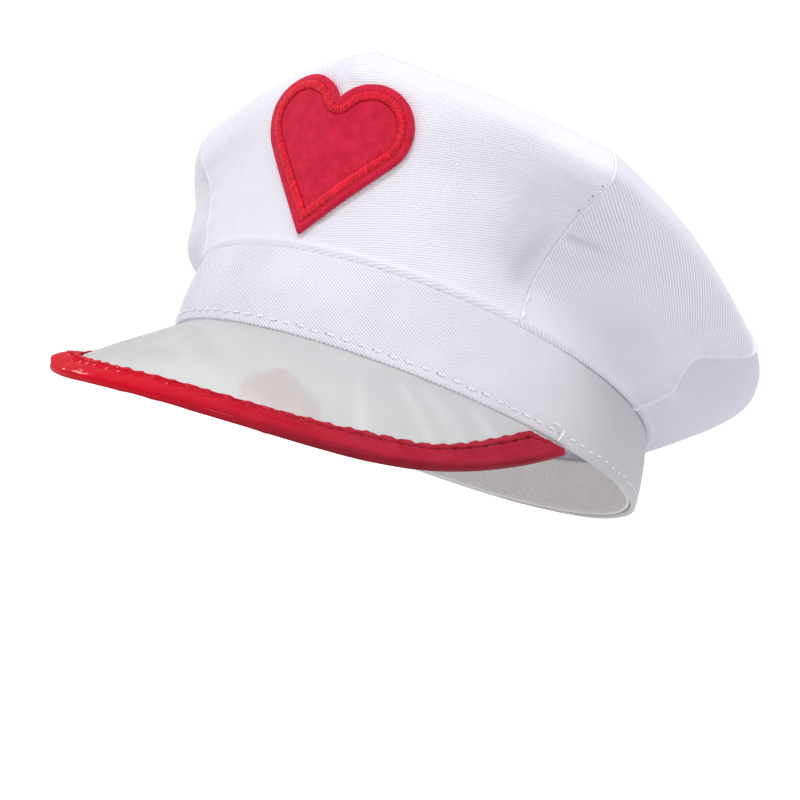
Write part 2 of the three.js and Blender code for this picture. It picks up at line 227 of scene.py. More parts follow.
def makeStudio():
    for name, strength, spread, place in studio["softBoxes"]:
        softBox(name, strength, spread, place)
    world = bpy.data.worlds.new("whiteRoom")
    world.use_nodes = True
    tree = world.node_tree
    tree.nodes.clear()
    path = addNode(tree, "ShaderNodeLightPath")
    strength = addNode(tree, "ShaderNodeMapRange", {
        "Value": path.outputs["Is Camera Ray"],
        "To Min": studio["roomLight"], "To Max": studio["roomSeen"]}).outputs["Result"]
    for ray, level in (("Is Glossy Ray", "roomGloss"), ("Is Transmission Ray", "roomThrough")):
        strength = mathValue(tree, "MULTIPLY_ADD", path.outputs[ray],
                             studio[level] - studio["roomLight"], strength)
    background = addNode(tree, "ShaderNodeBackground", {
        "Color": (1, 1, 1, 1), "Strength": strength})
    addNode(tree, "ShaderNodeOutputWorld", {"Surface": background.outputs["Background"]})
    world.cycles.sampling_method = "NONE"
    scene.world = world
    scene.view_settings.view_transform = "Standard"

    bm = bmesh.new()
    bmesh.ops.create_circle(bm, cap_ends=True, segments=96, radius=studio["floorRadius"])
    mesh = bpy.data.meshes.new("floor")
    bm.to_mesh(mesh)
    bm.free()
    floor = bpy.data.objects.new("floor", mesh)
    scene.collection.objects.link(floor)
    # Matt white paper sweep: even and pale, with only a trace of mottle
    material, tree = newMaterial("paperFloor")
    mottle = noiseValue(tree, objectPlace(tree), 3.0)
    finishSurface(tree, {
        "Base Color": mixColours(tree, mottle, *studio["floorColours"]), "Roughness": 0.9,
        "Specular IOR Level": 0.2, "Emission Color": (1, 1, 1, 1),
        "Emission Strength": studio["floorGlow"]})
    mesh.materials.append(material)
    # The cap stands as in a light tent: the room lights it from below too, not the floor
    floor.visible_diffuse = False


makeCamera()
makeStudio()
print("camera and studio made")


# Materials

def stripes(tree, uv, turn, pitch, wander, detailScale):
    # Even stripes over the cloth; a wave texture of scale 1 has one each 0.31416 units
    turned = addNode(tree, "ShaderNodeMapping", {"Vector": uv, "Rotation": (0, 0, turn)})
    return addNode(tree, "ShaderNodeTexWave", {
        "Vector": turned.outputs["Vector"], "Scale": 3.1416 / pitch, "Distortion": wander,
        "Detail": 1.0, "Detail Scale": detailScale},
        wave_type="BANDS", bands_direction="X", wave_profile="SIN").outputs["Fac"]


# Polyester twill, woven with a slanting rib and bleached: cool white ribs, the grooves between them
# darkened with painted lavender shade, and the plain cloth greyed in places with painted shade;
# a soft sheen and no gloss. One UV unit is 10 mm of cloth.
def twillMaterial(name, cloth):
    material, tree = newMaterial(name)
    uv = addNode(tree, "ShaderNodeUVMap", uv_map="cloth").outputs["UV"]
    ribs = stripes(tree, uv, -math.radians(cloth["ribAngle"]) + math.pi / 2, cloth["ribPitch"],
                   cloth["ribWander"], 0.35)
    floats = stripes(tree, uv, -math.radians(cloth["ribAngle"] - cloth["floatTurn"]),
                     cloth["floatPitch"], 1.0, 2.0)
    slub = noiseValue(tree, objectPlace(tree), 900.0, roughness=0.6)
    patches = noiseValue(tree, objectPlace(tree), 38.0)
    shaped = addNode(tree, "ShaderNodeMapRange", {
        "Value": ribs, "From Min": 0.05, "From Max": cloth["grooveShare"]},
        interpolation_type="SMOOTHSTEP").outputs["Result"]
    # How strongly the ribs show drifts over the cloth
    drift = addNode(tree, "ShaderNodeMapRange", {
        "Value": patches, "From Min": 0.3, "From Max": 0.7,
        "To Min": 1.0 - cloth["ribDrift"], "To Max": 1.0}).outputs["Result"]
    showing = mathValue(tree, "MULTIPLY", attributeValue(tree, "ribShow"), drift)
    # Painted shade: the grooves between the ribs are darkened towards the groove shade colour
    groove = mathValue(tree, "MULTIPLY_ADD", shaped, -cloth["grooveShadeTone"], cloth["grooveShadeTone"])
    ribbed = mixColours(tree, mathValue(tree, "MULTIPLY", groove, showing),
                        cloth["ridgeColour"], cloth["grooveShadeColour"])
    height = mathValue(tree, "MULTIPLY_ADD", floats, cloth["floatShare"], shaped)
    height = mathValue(tree, "MULTIPLY_ADD", slub, cloth["slubShare"], height)
    finishSurface(tree, {
        # Painted shade: a vertex attribute greys the cloth towards the painted shade colour
        "Base Color": mixColours(tree, attributeValue(tree, "paintedShade"), ribbed,
                                 cloth["paintedShadeColour"]),
        "Roughness": cloth["roughness"], "IOR": 1.5, "Specular IOR Level": 0.35,
        "Sheen Weight": 0.22, "Sheen Roughness": 0.45, "Sheen Tint": linearColour("#F4F4FF"),
        "Normal": bumpNormal(tree, mathValue(tree, "MULTIPLY", height, showing),
                             cloth["ribDepth"] * 0.001, 1.0)})
    return material


# Sewing thread, spun polyester: a small soft highlight along it
def threadMaterial(name, light, dark, roughness, gloss=0.5, sheen=0.15):
    material, tree = newMaterial(name)
    fibres = noiseValue(tree, objectPlace(tree), 1500.0)
    tone = mathValue(tree, "MULTIPLY_ADD", fibres, 0.4, attributeValue(tree, "strandTone"))
    finishSurface(tree, {
        "Base Color": mixColours(tree, tone, dark, light), "Roughness": roughness, "IOR": 1.5,
        "Specular IOR Level": gloss, "Sheen Weight": sheen,
        "Normal": bumpNormal(tree, fibres, 0.00004, 0.5)})
    return material


# Clear PVC sheet, calendered: see-through with a faint grey cast, glossy and very slightly wavy,
# with a painted highlight whitening the raised parts of its folds
def clearVinylMaterial():
    material, tree = newMaterial("calenderedClearVinyl")
    waves = noiseValue(tree, objectPlace(tree), 28.0, roughness=0.4)
    haze = addNode(tree, "ShaderNodeMapRange", {"Value": waves, "To Min": 0.02, "To Max": 0.08})
    cast = mixColours(tree, waves, "#E3E4E4", "#EEEFEF")
    finishSurface(tree, {
        # Painted highlight whitens the sheet along its folds
        "Base Color": mixColours(tree, attributeValue(tree, "foldHighlight"), cast, "#FFFFFF"),
        "Roughness": haze.outputs["Result"], "IOR": 1.53, "Transmission Weight": 0.5,
        "Normal": bumpNormal(tree, waves, 0.0006, 0.5)})
    return material


# Red vinyl, plasticised PVC on a knit: bright red at the wearer's right, with painted shade and a
# whitish painted reflection making it crimson towards the left, painted shade in its folds, under a
# thin clear skin with a faint orange peel
def redVinylMaterial():
    material, tree = newMaterial("glossyRedVinyl")
    place = objectPlace(tree)
    peel = noiseValue(tree, place, 420.0)
    creased = noiseValue(tree, place, 75.0, 3.0, 0.55, 0.6)
    across = addNode(tree, "ShaderNodeSeparateXYZ", {"Vector": place}).outputs["X"]
    leftward = addNode(tree, "ShaderNodeMapRange", {
        "Value": across, "From Min": -0.04, "From Max": 0.085},
        interpolation_type="SMOOTHSTEP").outputs["Result"]
    # Painted shade: darker crimson, with a whitish painted reflection, towards the wearer's left
    skin = mixColours(tree, leftward, mixColours(tree, creased, "#C0001A", "#DA0426"),
                      mixColours(tree, creased, "#941829", "#B62A40"))
    normal = bumpNormal(tree, mathValue(tree, "MULTIPLY_ADD", creased, 5.0, peel), 0.00008, 0.6)
    finishSurface(tree, {
        # Painted shade in the grooves, around the stitches and along the rolled edge
        "Base Color": mixColours(tree, attributeValue(tree, "foldShade"), skin, "#3C0410"),
        "Roughness": 0.09, "IOR": 1.53, "Specular IOR Level": 0.0, "Coat Weight": 0.16,
        "Coat Roughness": 0.07, "Coat Normal": normal, "Normal": normal})
    return material


# Needled felt: matt, with matted fibres that mottle it
def redFeltMaterial():
    material, tree = newMaterial("needledRedFelt")
    place = objectPlace(tree)
    tone = mathValue(tree, "ADD", noiseValue(tree, place, 1100.0, 3.0, 0.65, 1.2),
                     noiseValue(tree, place, 240.0, 3.0, 0.6))
    spread = addNode(tree, "ShaderNodeMapRange", {
        "Value": tone, "From Min": 0.75, "From Max": 1.25}).outputs["Result"]
    finishSurface(tree, {
        "Base Color": mixColours(tree, spread, "#BE1834", "#DB2546"), "Roughness": 0.95,
        "IOR": 1.5, "Specular IOR Level": 0.2, "Sheen Weight": 0.35, "Sheen Roughness": 0.5,
        "Sheen Tint": linearColour("#FF6A80"), "Normal": bumpNormal(tree, tone, 0.00025, 0.7)})
    return material


# Needle holes punched through cloth or vinyl: dark matt specks, painted shade for the hollow of each
# hole
def needleHoleMaterial(name, colour):
    material, tree = newMaterial(name)
    dark = [channel * 0.6 for channel in linearColour(colour)[:3]] + [1.0]
    finishSurface(tree, {
        "Base Color": mixColours(tree, noiseValue(tree, objectPlace(tree), 2500.0), colour, dark),
        "Roughness": 1.0, "Specular IOR Level": 0.0})
    return material


# Mesh helpers

def layGrid(bm, columns, rows, place, closed=False):
    # A grid whose corners place(column, row) moves to their spot, in the cap's millimetres, with a
    # cloth coordinate in millimetres. A closed grid is welded where its edges or poles meet.
    uvLayer = bm.loops.layers.uv.get("cloth") or bm.loops.layers.uv.new("cloth")
    made = bmesh.ops.create_grid(bm, x_segments=columns, y_segments=rows, size=1.0)
    cloth = {}
    for vert in made["verts"]:
        column = round((vert.co.x + 1) / 2 * columns)
        row = round((vert.co.y + 1) / 2 * rows)
        vert.co, cloth[vert] = place(column, row)
    for face in {face for vert in made["verts"] for face in vert.link_faces}:
        for loop in face.loops:
            loop[uvLayer].uv = cloth[loop.vert][0] / 10, cloth[loop.vert][1] / 10
    if closed:
        bmesh.ops.remove_doubles(bm, verts=made["verts"], dist=0.0001)
    return made["verts"]


def addThread(bm, points, radius, sides, tone):
    # A tube along points that runs out to a tip at both ends, with the tone of its strand
    toneLayer = bm.verts.layers.float.get("strandTone") or bm.verts.layers.float.new("strandTone")
    last = len(points) - 1
    frames = []
    for step in range(len(points)):
        ahead = (points[min(step + 1, last)] - points[max(step - 1, 0)]).normalized()
        aside = frames[-1][0] - ahead * frames[-1][0].dot(ahead) if frames else ahead.orthogonal()
        frames.append((aside.normalized(), ahead))

    def place(column, row):
        aside, ahead = frames[row]
        turned = Matrix.Rotation(2 * math.pi * (column % sides) / sides, 3, ahead) @ aside
        return points[row] + turned * (radius if 0 < row < last else 0.0), (column, row)

    for vert in layGrid(bm, sides, last, place, closed=True):
        if vert.is_valid:
            vert[toneLayer] = tone


def writeLayer(bm, name, values):
    # A value for each vertex in turn, for a material to read
    layer = bm.verts.layers.float.new(name)
    for vert, value in zip(bm.verts, values):
        vert[layer] = value


def writeRibs(bm, shadeAt):
    # The ribs fade where painted shade greys the plain cloth; shadeAt gives how much, at an angle of
    # the ring
    shades = [shadeAt(math.degrees(math.atan2(vert.co.x, -vert.co.y))) for vert in bm.verts]
    writeLayer(bm, "ribShow", [1.0 - shade for shade in shades])
    writeLayer(bm, "paintedShade", shades)


def closeHoles(bm):
    bmesh.ops.holes_fill(bm, edges=[edge for edge in bm.edges if edge.is_boundary], sides=0)


def finishPiece(bm, name, material, nodes=(), solid=None):
    # Moves a mesh from the cap's millimetres to its place in the part and hangs it on the body.
    # A sheet is given solid, its thickness in mm and the side it goes to.
    if solid is None:
        bmesh.ops.recalc_face_normals(bm, faces=bm.faces)
    bmesh.ops.transform(bm, matrix=capToPart, verts=bm.verts)
    for face in bm.faces:
        face.smooth = True
    mesh = bpy.data.meshes.new(name)
    bm.to_mesh(mesh)
    bm.free()
    mesh.materials.append(material)
    piece = bpy.data.objects.new(name, mesh)
    scene.collection.objects.link(piece)
    if solid:
        shell = piece.modifiers.new("thickness", "SOLIDIFY")
        shell.thickness = solid[0] * 0.001
        shell.offset = solid[1]
        shell.use_even_offset = True
        shell.thickness_clamp = 1.0
    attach(piece, "root")
    if nodes:
        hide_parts(*nodes)


# Band and crown shapes, as in the solid model

bandShape = {
    "frontHeight": 30.5, "backHeight": 21.0, "leftRise": 2.8,
    "lean": 2.8, "shift": 2.2, "bulge": 0.8, "wall": 2.0,
}


def bandTop(angle):
    ahead, aside = math.cos(math.radians(angle)), math.sin(math.radians(angle))
    level = (bandShape["frontHeight"] + bandShape["backHeight"]) / 2
    tilt = (bandShape["frontHeight"] - bandShape["backHeight"]) / 2
    return level + tilt * ahead + bandShape["leftRise"] * aside


def ellipseRadius(angle, halfLength, halfWidth):
    turn = math.radians(angle)
    return 1 / math.hypot(math.sin(turn) / halfWidth, math.cos(turn) / halfLength)


def bandPoint(angle, share, depth):
    lean = bandShape["lean"] * share - bandShape["bulge"] * math.sin(math.pi * share)
    halfWidth = capRim["halfWidth"] - lean - depth
    radius = ellipseRadius(angle, capRim["halfLength"] - lean - depth, halfWidth)
    sideways = bandShape["shift"] * share * math.sin(math.radians(angle)) * (radius / halfWidth) ** 2
    return polar(angle, radius - sideways, bandTop(angle) * share)


crownShape = {
    "reach": 130.0, "rise": 103.0, "apexRise": 98.0, "tipRadius": 1.6, "seat": 0.3,
}

# One row for each seam and for the middle of each panel: angle, then sag, flank, lip and crest as
# shares of the crown's reach and rise
crownSections = [
    (-6, (0.750, 0.437), (0.769, 0.660), (0.785, 0.972), (0.708, 1.036)),    # front seam
    (20, (0.727, 0.456), (0.754, 0.660), (0.792, 0.913), (0.715, 0.995)),
    (46, (0.665, 0.466), (0.792, 0.641), (0.996, 0.786), (0.908, 0.896)),    # left front seam
    (70, (0.700, 0.408), (0.792, 0.544), (0.885, 0.728), (0.815, 0.818)),
    (95, (0.715, 0.360), (0.746, 0.500), (0.908, 0.573), (0.846, 0.670)),    # left seam
    (117, (0.746, 0.318), (0.831, 0.395), (0.900, 0.534), (0.823, 0.670)),
    (138, (0.723, 0.268), (0.792, 0.425), (0.915, 0.544), (0.846, 0.660)),   # left back seam
    (160, (0.785, 0.280), (0.854, 0.390), (0.885, 0.524), (0.800, 0.660)),
    (182, (0.762, 0.300), (0.800, 0.400), (0.908, 0.505), (0.831, 0.631)),   # back seam
    (204, (0.777, 0.252), (0.846, 0.369), (0.877, 0.524), (0.800, 0.650)),
    (226, (0.715, 0.300), (0.769, 0.408), (0.885, 0.524), (0.815, 0.650)),   # right back seam
    (248, (0.730, 0.272), (0.800, 0.398), (0.838, 0.553), (0.762, 0.690)),
    (270, (0.685, 0.310), (0.730, 0.427), (0.838, 0.563), (0.777, 0.700)),   # right seam
    (292, (0.746, 0.300), (0.772, 0.450), (0.819, 0.612), (0.777, 0.738)),
    (315, (0.730, 0.360), (0.758, 0.485), (0.827, 0.612), (0.780, 0.767)),   # right front seam
    (334, (0.746, 0.437), (0.762, 0.641), (0.777, 0.816), (0.723, 0.934)),
]
panelCount = len(crownSections) // 2

# Folds and dents: angle and width in degrees, height and its spread as shares of the rise, depth mm
crownFolds = [
    (33, 6, 0.66, 0.22, 2.34),
    (23, 6, 0.70, 0.22, -1.30),
    (66, 9, 0.44, 0.10, -2.86),
    (324, 5, 0.62, 0.16, -1.82),
]


def sectionPoints(row):
    angle, *shares = crownSections[row % len(crownSections)]
    foot = bandPoint(angle, 1, crownShape["seat"])
    points = [(math.hypot(foot.x, foot.y), foot.z + crownShape["seat"])]
    points += [(out * crownShape["reach"], up * crownShape["rise"]) for out, up in shares]
    points.append((crownShape["tipRadius"], crownShape["apexRise"]))
    return [Vector(point) for point in points]


def sectionAt(points, station):
    # Centripetal Catmull-Rom curve through a section's points, station 0 at its foot, 1 at the apex
    place = station * (len(points) - 1)
    span = min(int(place), len(points) - 2)
    share = place - span
    p1, p2 = points[span], points[span + 1]
    p0 = points[span - 1] if span else p1 * 2 - p2
    p3 = points[span + 2] if span + 2 < len(points) else p2 * 2 - p1
    d0, d1, d2 = ((b - a).length ** 0.5 for a, b in ((p0, p1), (p1, p2), (p2, p3)))
    t1 = ((p1 - p0) / d0 - (p2 - p0) / (d0 + d1) + (p2 - p1) / d1) * d1
    t2 = ((p2 - p1) / d1 - (p3 - p1) / (d1 + d2) + (p3 - p2) / d2) * d1
    square, cube = share * share, share ** 3
    return (p1 * (2 * cube - 3 * square + 1) + t1 * (cube - 2 * square + share)
            + p2 * (3 * square - 2 * cube) + t2 * (cube - square))


def foldOffset(angle, height):
    offset = 0.0
    for at, width, up, spread, depth in crownFolds:
        turn = (angle - at + 180) % 360 - 180
        if abs(turn) < 3 * width:
            offset += depth * bump(turn, width) * bump(height / crownShape["rise"] - up, spread)
    return offset


def blend(start, middle, end, share):
    return (start * (1 - share) * (1 - 2 * share) + middle * 4 * share * (1 - share)
            + end * share * (2 * share - 1))


sections = [sectionPoints(row) for row in range(len(crownSections))]


def crownPoint(panel, share, station):
    rows = [2 * panel, 2 * panel + 1, (2 * panel + 2) % len(crownSections)]
    angles = [crownSections[row][0] for row in rows]
    if panel == panelCount - 1:
        angles[2] += 360
    spots = [sectionAt(sections[row], station) for row in rows]
    angle = blend(*angles, share)
    radius, height = blend(*spots, share)
    settled = min(1.0, station * (len(sections[0]) - 1))
    return angle, radius + foldOffset(angle, height) * settled, height


# Crown panels

crownCloth = {
    "columns": 60, "rows": 150,
    "wall": 1.0,
    "edgeCrowding": 0.85,    # how much the columns crowd towards the seams
    "footCrowding": 0.45,    # and the rows towards the band
    "grooveDepth": 0.16, "grooveWidth": 0.3,
    # Painted shade: how much it darkens hollow creases, and how much it greys the pressed spots
    "creaseShade": 0.45,     # how dark a hollow crease is, per mm of its depth
    "pressedShade": 0.44,    # how grey the pressed spots are
    "pressed": (1.6, 0.95),  # how flat their middles are, and the most
    "seamReach": 30.0,       # how far from a seam its relief goes
    "ridgePlace": 1.2,       # how far from the seam, in ridge widths
    # Painted highlight: how much the ridge loses its painted groove shade and grey, so it shows pale
    "ridgeHighlight": 0.95,     # how plain and pale the ridge is
    "ridgeBeyond": 0.1,      # what is left of it on the seam's other side
    "puckerDepth": 0.34, "puckerPitch": 11.0, "puckerReach": 9.0,
    "puckerWander": 2.2, "puckerWanderSize": 30.0,
    "stitchPucker": 0.1, "stitchPitch": 2.8,
    "wrinkle": 0.4, "wrinkleSize": 26.0, "fineWrinkle": 0.13, "fineWrinkleSize": 9.0,
    "rollHeight": 0.6, "rollPlace": 1.7, "rollWidth": 1.2, "footDrop": 0.8, "footRise": 1.3,
    "gatherDepth": 0.26, "gatherPitch": 3.0, "gatherReach": 3.2,
    "gatherAngle": 68.0, "gatherSpread": 24.0, "gatherElsewhere": 0.14,
    "dipFront": 0.3, "dipSide": 0.75,
    "fadeWidth": 25.0,       # where a panel is narrower than this its seams fade
    "plainWidth": 12.0,      # and than this, all its relief
}

twill = {
    "ribPitch": 0.9, "ribAngle": -32.0, "ribWander": 0.25, "ribDrift": 0.35, "ribDepth": 0.2,
    "grooveShare": 0.72, "grooveShadeTone": 0.62,
    "floatPitch": 0.5, "floatTurn": 62.0, "floatShare": 0.05, "slubShare": 0.06,
    # The groove colour and the shade colour are painted shade; the ridge colour is the cloth's own
    "ridgeColour": "#F3F2FB", "grooveShadeColour": "#B8B6CC", "paintedShadeColour": "#B7B6C9",
    "roughness": 0.62,
}

# How the cloth of each panel was cut and sewn: the slant of its ribs in degrees, their pitch in mm,
# how strongly they show, how much they spread towards the top, and how much painted shade greys
# the plain cloth
panelCuts = [
    (14, 0.87, 0.46, 0.0, 0.0), (-27, 0.85, 1.0, 0.006, 0.0),
    (-40, 0.90, 0.20, 0.0, 0.40), (20, 0.90, 0.7, 0.0, 0.1),
    (-50, 0.90, 0.7, 0.0, 0.1), (30, 0.90, 0.7, 0.0, 0.1),
    (-30, 0.90, 0.5, 0.0, 0.10), (-48, 0.90, 0.14, 0.0, 0.10),
]

# The ridge along each seam: on the panel after it (0) or before it (1), its height and width in mm
seamRidges = [
    (0, 0.40, 0.40), (0, 0.55, 0.42), (1, 1.45, 0.60), (0, 0.50, 0.45),
    (0, 0.50, 0.45), (0, 0.50, 0.45), (0, 0.50, 0.45), (0, 0.65, 0.50),
]

# The left front seam: it lies flat half way up, and winds and is puckered at its foot
windingSeam = {
    "seam": 1, "flatten": 0.6, "flatRise": 20.0, "flatReach": 9.0, "swell": 0.9, "swellReach": 8.0,
    "wind": 1.1, "windRate": 1.3,
}

# Where the cloth is pressed smooth and greyed with painted shade: panel, place across and up in mm,
# reach across and up
pressedSpots = [(1, 10.0, 14.0, 19.0, 11.0), (1, 34.0, 10.0, 12.0, 12.0)]

# Small creases and hollows: panel, from and to as across and up in mm, width and height in mm
creases = [
    (1, (-44.0, 28.5), (-25.0, 35.0), 1.5, -0.9),
    (1, (-43.0, 24.0), (-28.0, 29.5), 2.4, 0.8),
    (7, (38.0, 61.0), (31.0, 44.0), 0.8, 0.45),
    (7, (37.0, 60.0), (26.0, 47.0), 0.8, 0.45),
    (7, (36.0, 61.0), (21.0, 52.0), 0.9, 0.4),
    (0, (27.0, 12.0), (25.0, 56.0), 3.6, 0.65),
    (0, (36.0, 14.0), (40.5, 38.0), 4.2, -0.7),
]


def creaseHeight(panel, across, up):
    height = 0.0
    for where, start, end, width, lift in creases:
        if where != panel:
            continue
        line = Vector(end) - Vector(start)
        share = (Vector((across, up)) - Vector(start)).dot(line) / line.length_squared
        share = min(1.0, max(0.0, share))
        gap = (Vector(start) + line * share - Vector((across, up))).length
        if gap < 3 * width:
            height += lift * bump(gap, width) * math.sin(math.pi * mix(0.25, 1, share))
    return height


def crownRelief(panel, angle, rise, gaps, base):
    # How far the cloth stands out from the panel's plain shape, in mm, how much its ribs show and
    # how much painted shade greys it
    cloth = crownCloth
    angle = (angle + 180) % 360 - 180
    seams = (panel, (panel + 1) % panelCount)
    width = sum(gaps)
    across = gaps[0] - width / 2
    show, shade = 1.0, panelCuts[panel][4]
    for where, middle, level, wide, high in pressedSpots:
        if where == panel:
            reach = ((across - middle) / wide) ** 2 + ((rise - level) / high) ** 2
            pressed = min(1.0, cloth["pressed"][0] * math.exp(-reach)) * cloth["pressed"][1]
            show *= 1 - pressed
            # Painted shade greys the pressed spot
            shade = mix(shade, cloth["pressedShade"], pressed)
    fade = min(1.0, width / cloth["fadeWidth"])
    out = cloth["wrinkle"] * noise.noise(base / cloth["wrinkleSize"] + Vector((7.3, 0, 0)))
    out += cloth["fineWrinkle"] * noise.noise(base / cloth["fineWrinkleSize"])
    out *= min(1.0, rise / 8)
    creased = creaseHeight(panel, across, rise) * smoothStep(min(gaps) / 3)
    out += creased
    # Painted shade darkens a hollow crease
    shade = min(0.95, shade + cloth["creaseShade"] * max(0.0, -creased))
    for side, (gap, seam) in enumerate(zip(gaps, seams)):
        if gap > cloth["seamReach"]:
            continue
        out -= cloth["grooveDepth"] * bump(gap, cloth["grooveWidth"]) * fade
        carrier, ridge, ridgeWidth = seamRidges[seam]
        fromRidge = gap - cloth["ridgePlace"] * ridgeWidth
        if seam == windingSeam["seam"]:
            footed = bump(rise, windingSeam["swellReach"])
            flat = bump(rise - windingSeam["flatRise"], windingSeam["flatReach"])
            ridge *= 1 - windingSeam["flatten"] * flat + windingSeam["swell"] * footed
            fromRidge += windingSeam["wind"] * math.sin(rise * windingSeam["windRate"]) * footed
        if carrier != side:
            ridge *= cloth["ridgeBeyond"]
        out += ridge * bump(fromRidge, ridgeWidth) * fade * smoothStep(gap / 0.5)
        # Painted highlight: the ridge is left pale, without groove shade or painted grey
        if carrier == side:
            bright = cloth["ridgeHighlight"] * bump(max(0.0, fromRidge), ridgeWidth) * fade
            show *= 1 - bright
            shade *= 1 - bright
        wander = cloth["puckerWander"] * noise.noise(
            Vector((rise / cloth["puckerWanderSize"], seam * 5.1, side * 3.7)))
        phase = 2 * math.pi * rise / cloth["puckerPitch"] + wander * 3
        away = 1 - math.exp(-gap / 1.2)
        fading = math.exp(-gap / cloth["puckerReach"]) * away * fade * min(1.0, rise / 6)
        out += cloth["puckerDepth"] * math.sin(phase) * fading
        stitched = math.exp(-gap / 2.0) * (1 - math.exp(-gap / 0.8)) * fade
        out += cloth["stitchPucker"] * math.cos(2 * math.pi * rise / cloth["stitchPitch"]) * stitched
    out += cloth["rollHeight"] * bump(rise - cloth["rollPlace"], cloth["rollWidth"])
    gather = math.sin(math.radians(angle) * 95 / cloth["gatherPitch"] * 2 * math.pi
                      + 2 * noise.noise(Vector((angle / 4, 0, 0))))
    # Small teeth show where the wearer's left side was gathered into the band
    gathered = cloth["gatherDepth"] * mix(
        cloth["gatherElsewhere"], 1, bump(angle - cloth["gatherAngle"], cloth["gatherSpread"]))
    out += gathered * gather * math.exp(-rise / cloth["gatherReach"]) * min(1, rise / 0.8)
    # The cloth lies plain where the panels run together at the top
    return out * min(1.0, (width / cloth["plainWidth"]) ** 2), show, shade


def panelStations(panel):
    # The station of each row and its distance up the middle of the panel
    steps = 240
    stations = [step / steps for step in range(steps + 1)]
    lengths = runLengths([polar(*crownPoint(panel, 0.5, station)) for station in stations])
    rows = []
    for row in range(crownCloth["rows"] + 1):
        share = row / crownCloth["rows"]
        along = lengths[-1] * (share + crownCloth["footCrowding"] * share * (share - 1))
        place, part = findSpan(lengths, along)
        rows.append((mix(stations[place - 1], stations[place], part), along))
    return rows


def makeCrownPanel(panel):
    columns = crownCloth["columns"]
    crowd = crownCloth["edgeCrowding"]
    shares = [c / columns - crowd * math.sin(2 * math.pi * c / columns) / (2 * math.pi)
              for c in range(columns + 1)]
    slant, pitch, strength, spread = panelCuts[panel][:4]
    spots, plain, order = {}, {}, []
    for row, (station, rise) in enumerate(panelStations(panel)):
        line = [crownPoint(panel, share, station) for share in shares]
        points = [polar(*spot) for spot in line]
        lengths = runLengths(points)
        squeeze = 1 + spread * rise
        up = math.log(squeeze) / spread if spread else rise
        for column, point in enumerate(points):
            gaps = (lengths[column], lengths[-1] - lengths[column])
            plain[column, row] = (line[column][0], rise, gaps)
            spots[column, row] = (point, ((lengths[column] - lengths[-1] / 2) / squeeze, up))

    def place(column, row):
        order.append((column, row))
        return spots[column, row]

    bm = bmesh.new()
    verts = layGrid(bm, columns, crownCloth["rows"], place)
    bm.normal_update()
    normals = [vert.normal.copy() for vert in verts]
    shows, shades = [], []
    for vert, away, (column, row) in zip(verts, normals, order):
        angle, rise, gaps = plain[column, row]
        if column in (0, columns):
            # Both panels of a seam move in the seam's own plane, and so stay together
            aside = polar(angle + 90, 1, 0)
            away = (away - aside * away.dot(aside)).normalized()
        out, show, shade = crownRelief(panel, angle, rise, gaps, vert.co)
        shows.append(show)
        shades.append(shade)
        # The foot dips behind the band's top edge, deeper along the side than at the front
        dip = max(0.0, 1 - rise / crownCloth["footRise"])
        sideways = min(1.0, abs(math.sin(math.radians(angle))))
        out -= mix(crownCloth["dipFront"], crownCloth["dipSide"], sideways) * dip
        vert.co = vert.co + away * out - Vector((0, 0, crownCloth["footDrop"] * dip))
    writeLayer(bm, "ribShow", shows)
    writeLayer(bm, "paintedShade", shades)
    # The left front panel's ribs, which show most, are the flattest; the others' are as deep as
    # they show
    raised = 0.4 if panel == 1 else 0.4 + 0.6 * strength
    cloth = dict(twill, ribAngle=slant, ribPitch=pitch, grooveShadeTone=twill["grooveShadeTone"] * strength,
                 ribDepth=twill["ribDepth"] * raised)
    finishPiece(bm, f"crownPanel{panel + 1}", twillMaterial(f"wovenCrownTwill{panel + 1}", cloth),
                [f"crown_panel_{panel + 1}"], solid=(crownCloth["wall"], -1.0))


for panel in range(panelCount):
    makeCrownPanel(panel)


topTack = {"radius": 2.6, "height": 0.9, "sink": 0.5, "columns": 32, "rows": 8}


def makeTopTack():
    # A small cloth tack closes the spot where the panels meet
    columns, rows = topTack["columns"], topTack["rows"]

    def place(column, row):
        turn = math.pi / 2 * row / rows
        reach = topTack["radius"] * math.cos(turn) if row < rows else 0.0
        spot = polar(360 * (column % columns) / columns, reach, 0)
        spot.z = crownShape["apexRise"] - topTack["sink"] + topTack["height"] * math.sin(turn)
        return spot, (spot.x, spot.y)

    bm = bmesh.new()
    layGrid(bm, columns, rows, place, closed=True)
    closeHoles(bm)
    writeRibs(bm, lambda angle: 0.0)
    finishPiece(bm, "topTack", twillMaterial("wovenTackTwill", twill))


makeTopTack()
print("crown panels laid")


# Band

bandCloth = {
    "columns": 360, "wallRows": 22, "edgeRows": 6, "edgeRound": 0.5,
    "stitchRise": 3.4, "stitchGroove": 0.22, "stitchPitch": 5.8, "stitchPucker": 0.1,
    "wave": 0.22, "waveSize": 30.0,
    # How much painted shade greys it all over, and how much more towards the wearer's left and right:
    # the amount, the angle where that starts and the degrees it takes
    "shade": 0.03, "leftShade": (0.8, 40.0, 46.0), "rightShade": (0.2, 70.0, 40.0),
}


def ringProfile(low, high, wall, cloth):
    # Section of a ring of cloth as (share of the band's height, depth, rise in mm)
    wallRows, edgeRows, edgeRound = cloth["wallRows"], cloth["edgeRows"], cloth["edgeRound"]
    profile = []
    for row in range(wallRows + 1):
        profile.append((mix(low, high, row / wallRows), 0.0, 0.0))
    for row in range(1, edgeRows):
        turn = math.pi * row / edgeRows
        profile.append((high, wall / 2 * (1 - math.cos(turn)), edgeRound * math.sin(turn)))
    for row in range(wallRows + 1):
        profile.append((mix(high, low, row / wallRows), wall, 0.0))
    for row in range(1, edgeRows):
        turn = math.pi * row / edgeRows
        profile.append((low, wall / 2 * (1 + math.cos(turn)), -edgeRound * math.sin(turn)))
    return profile + profile[:1]


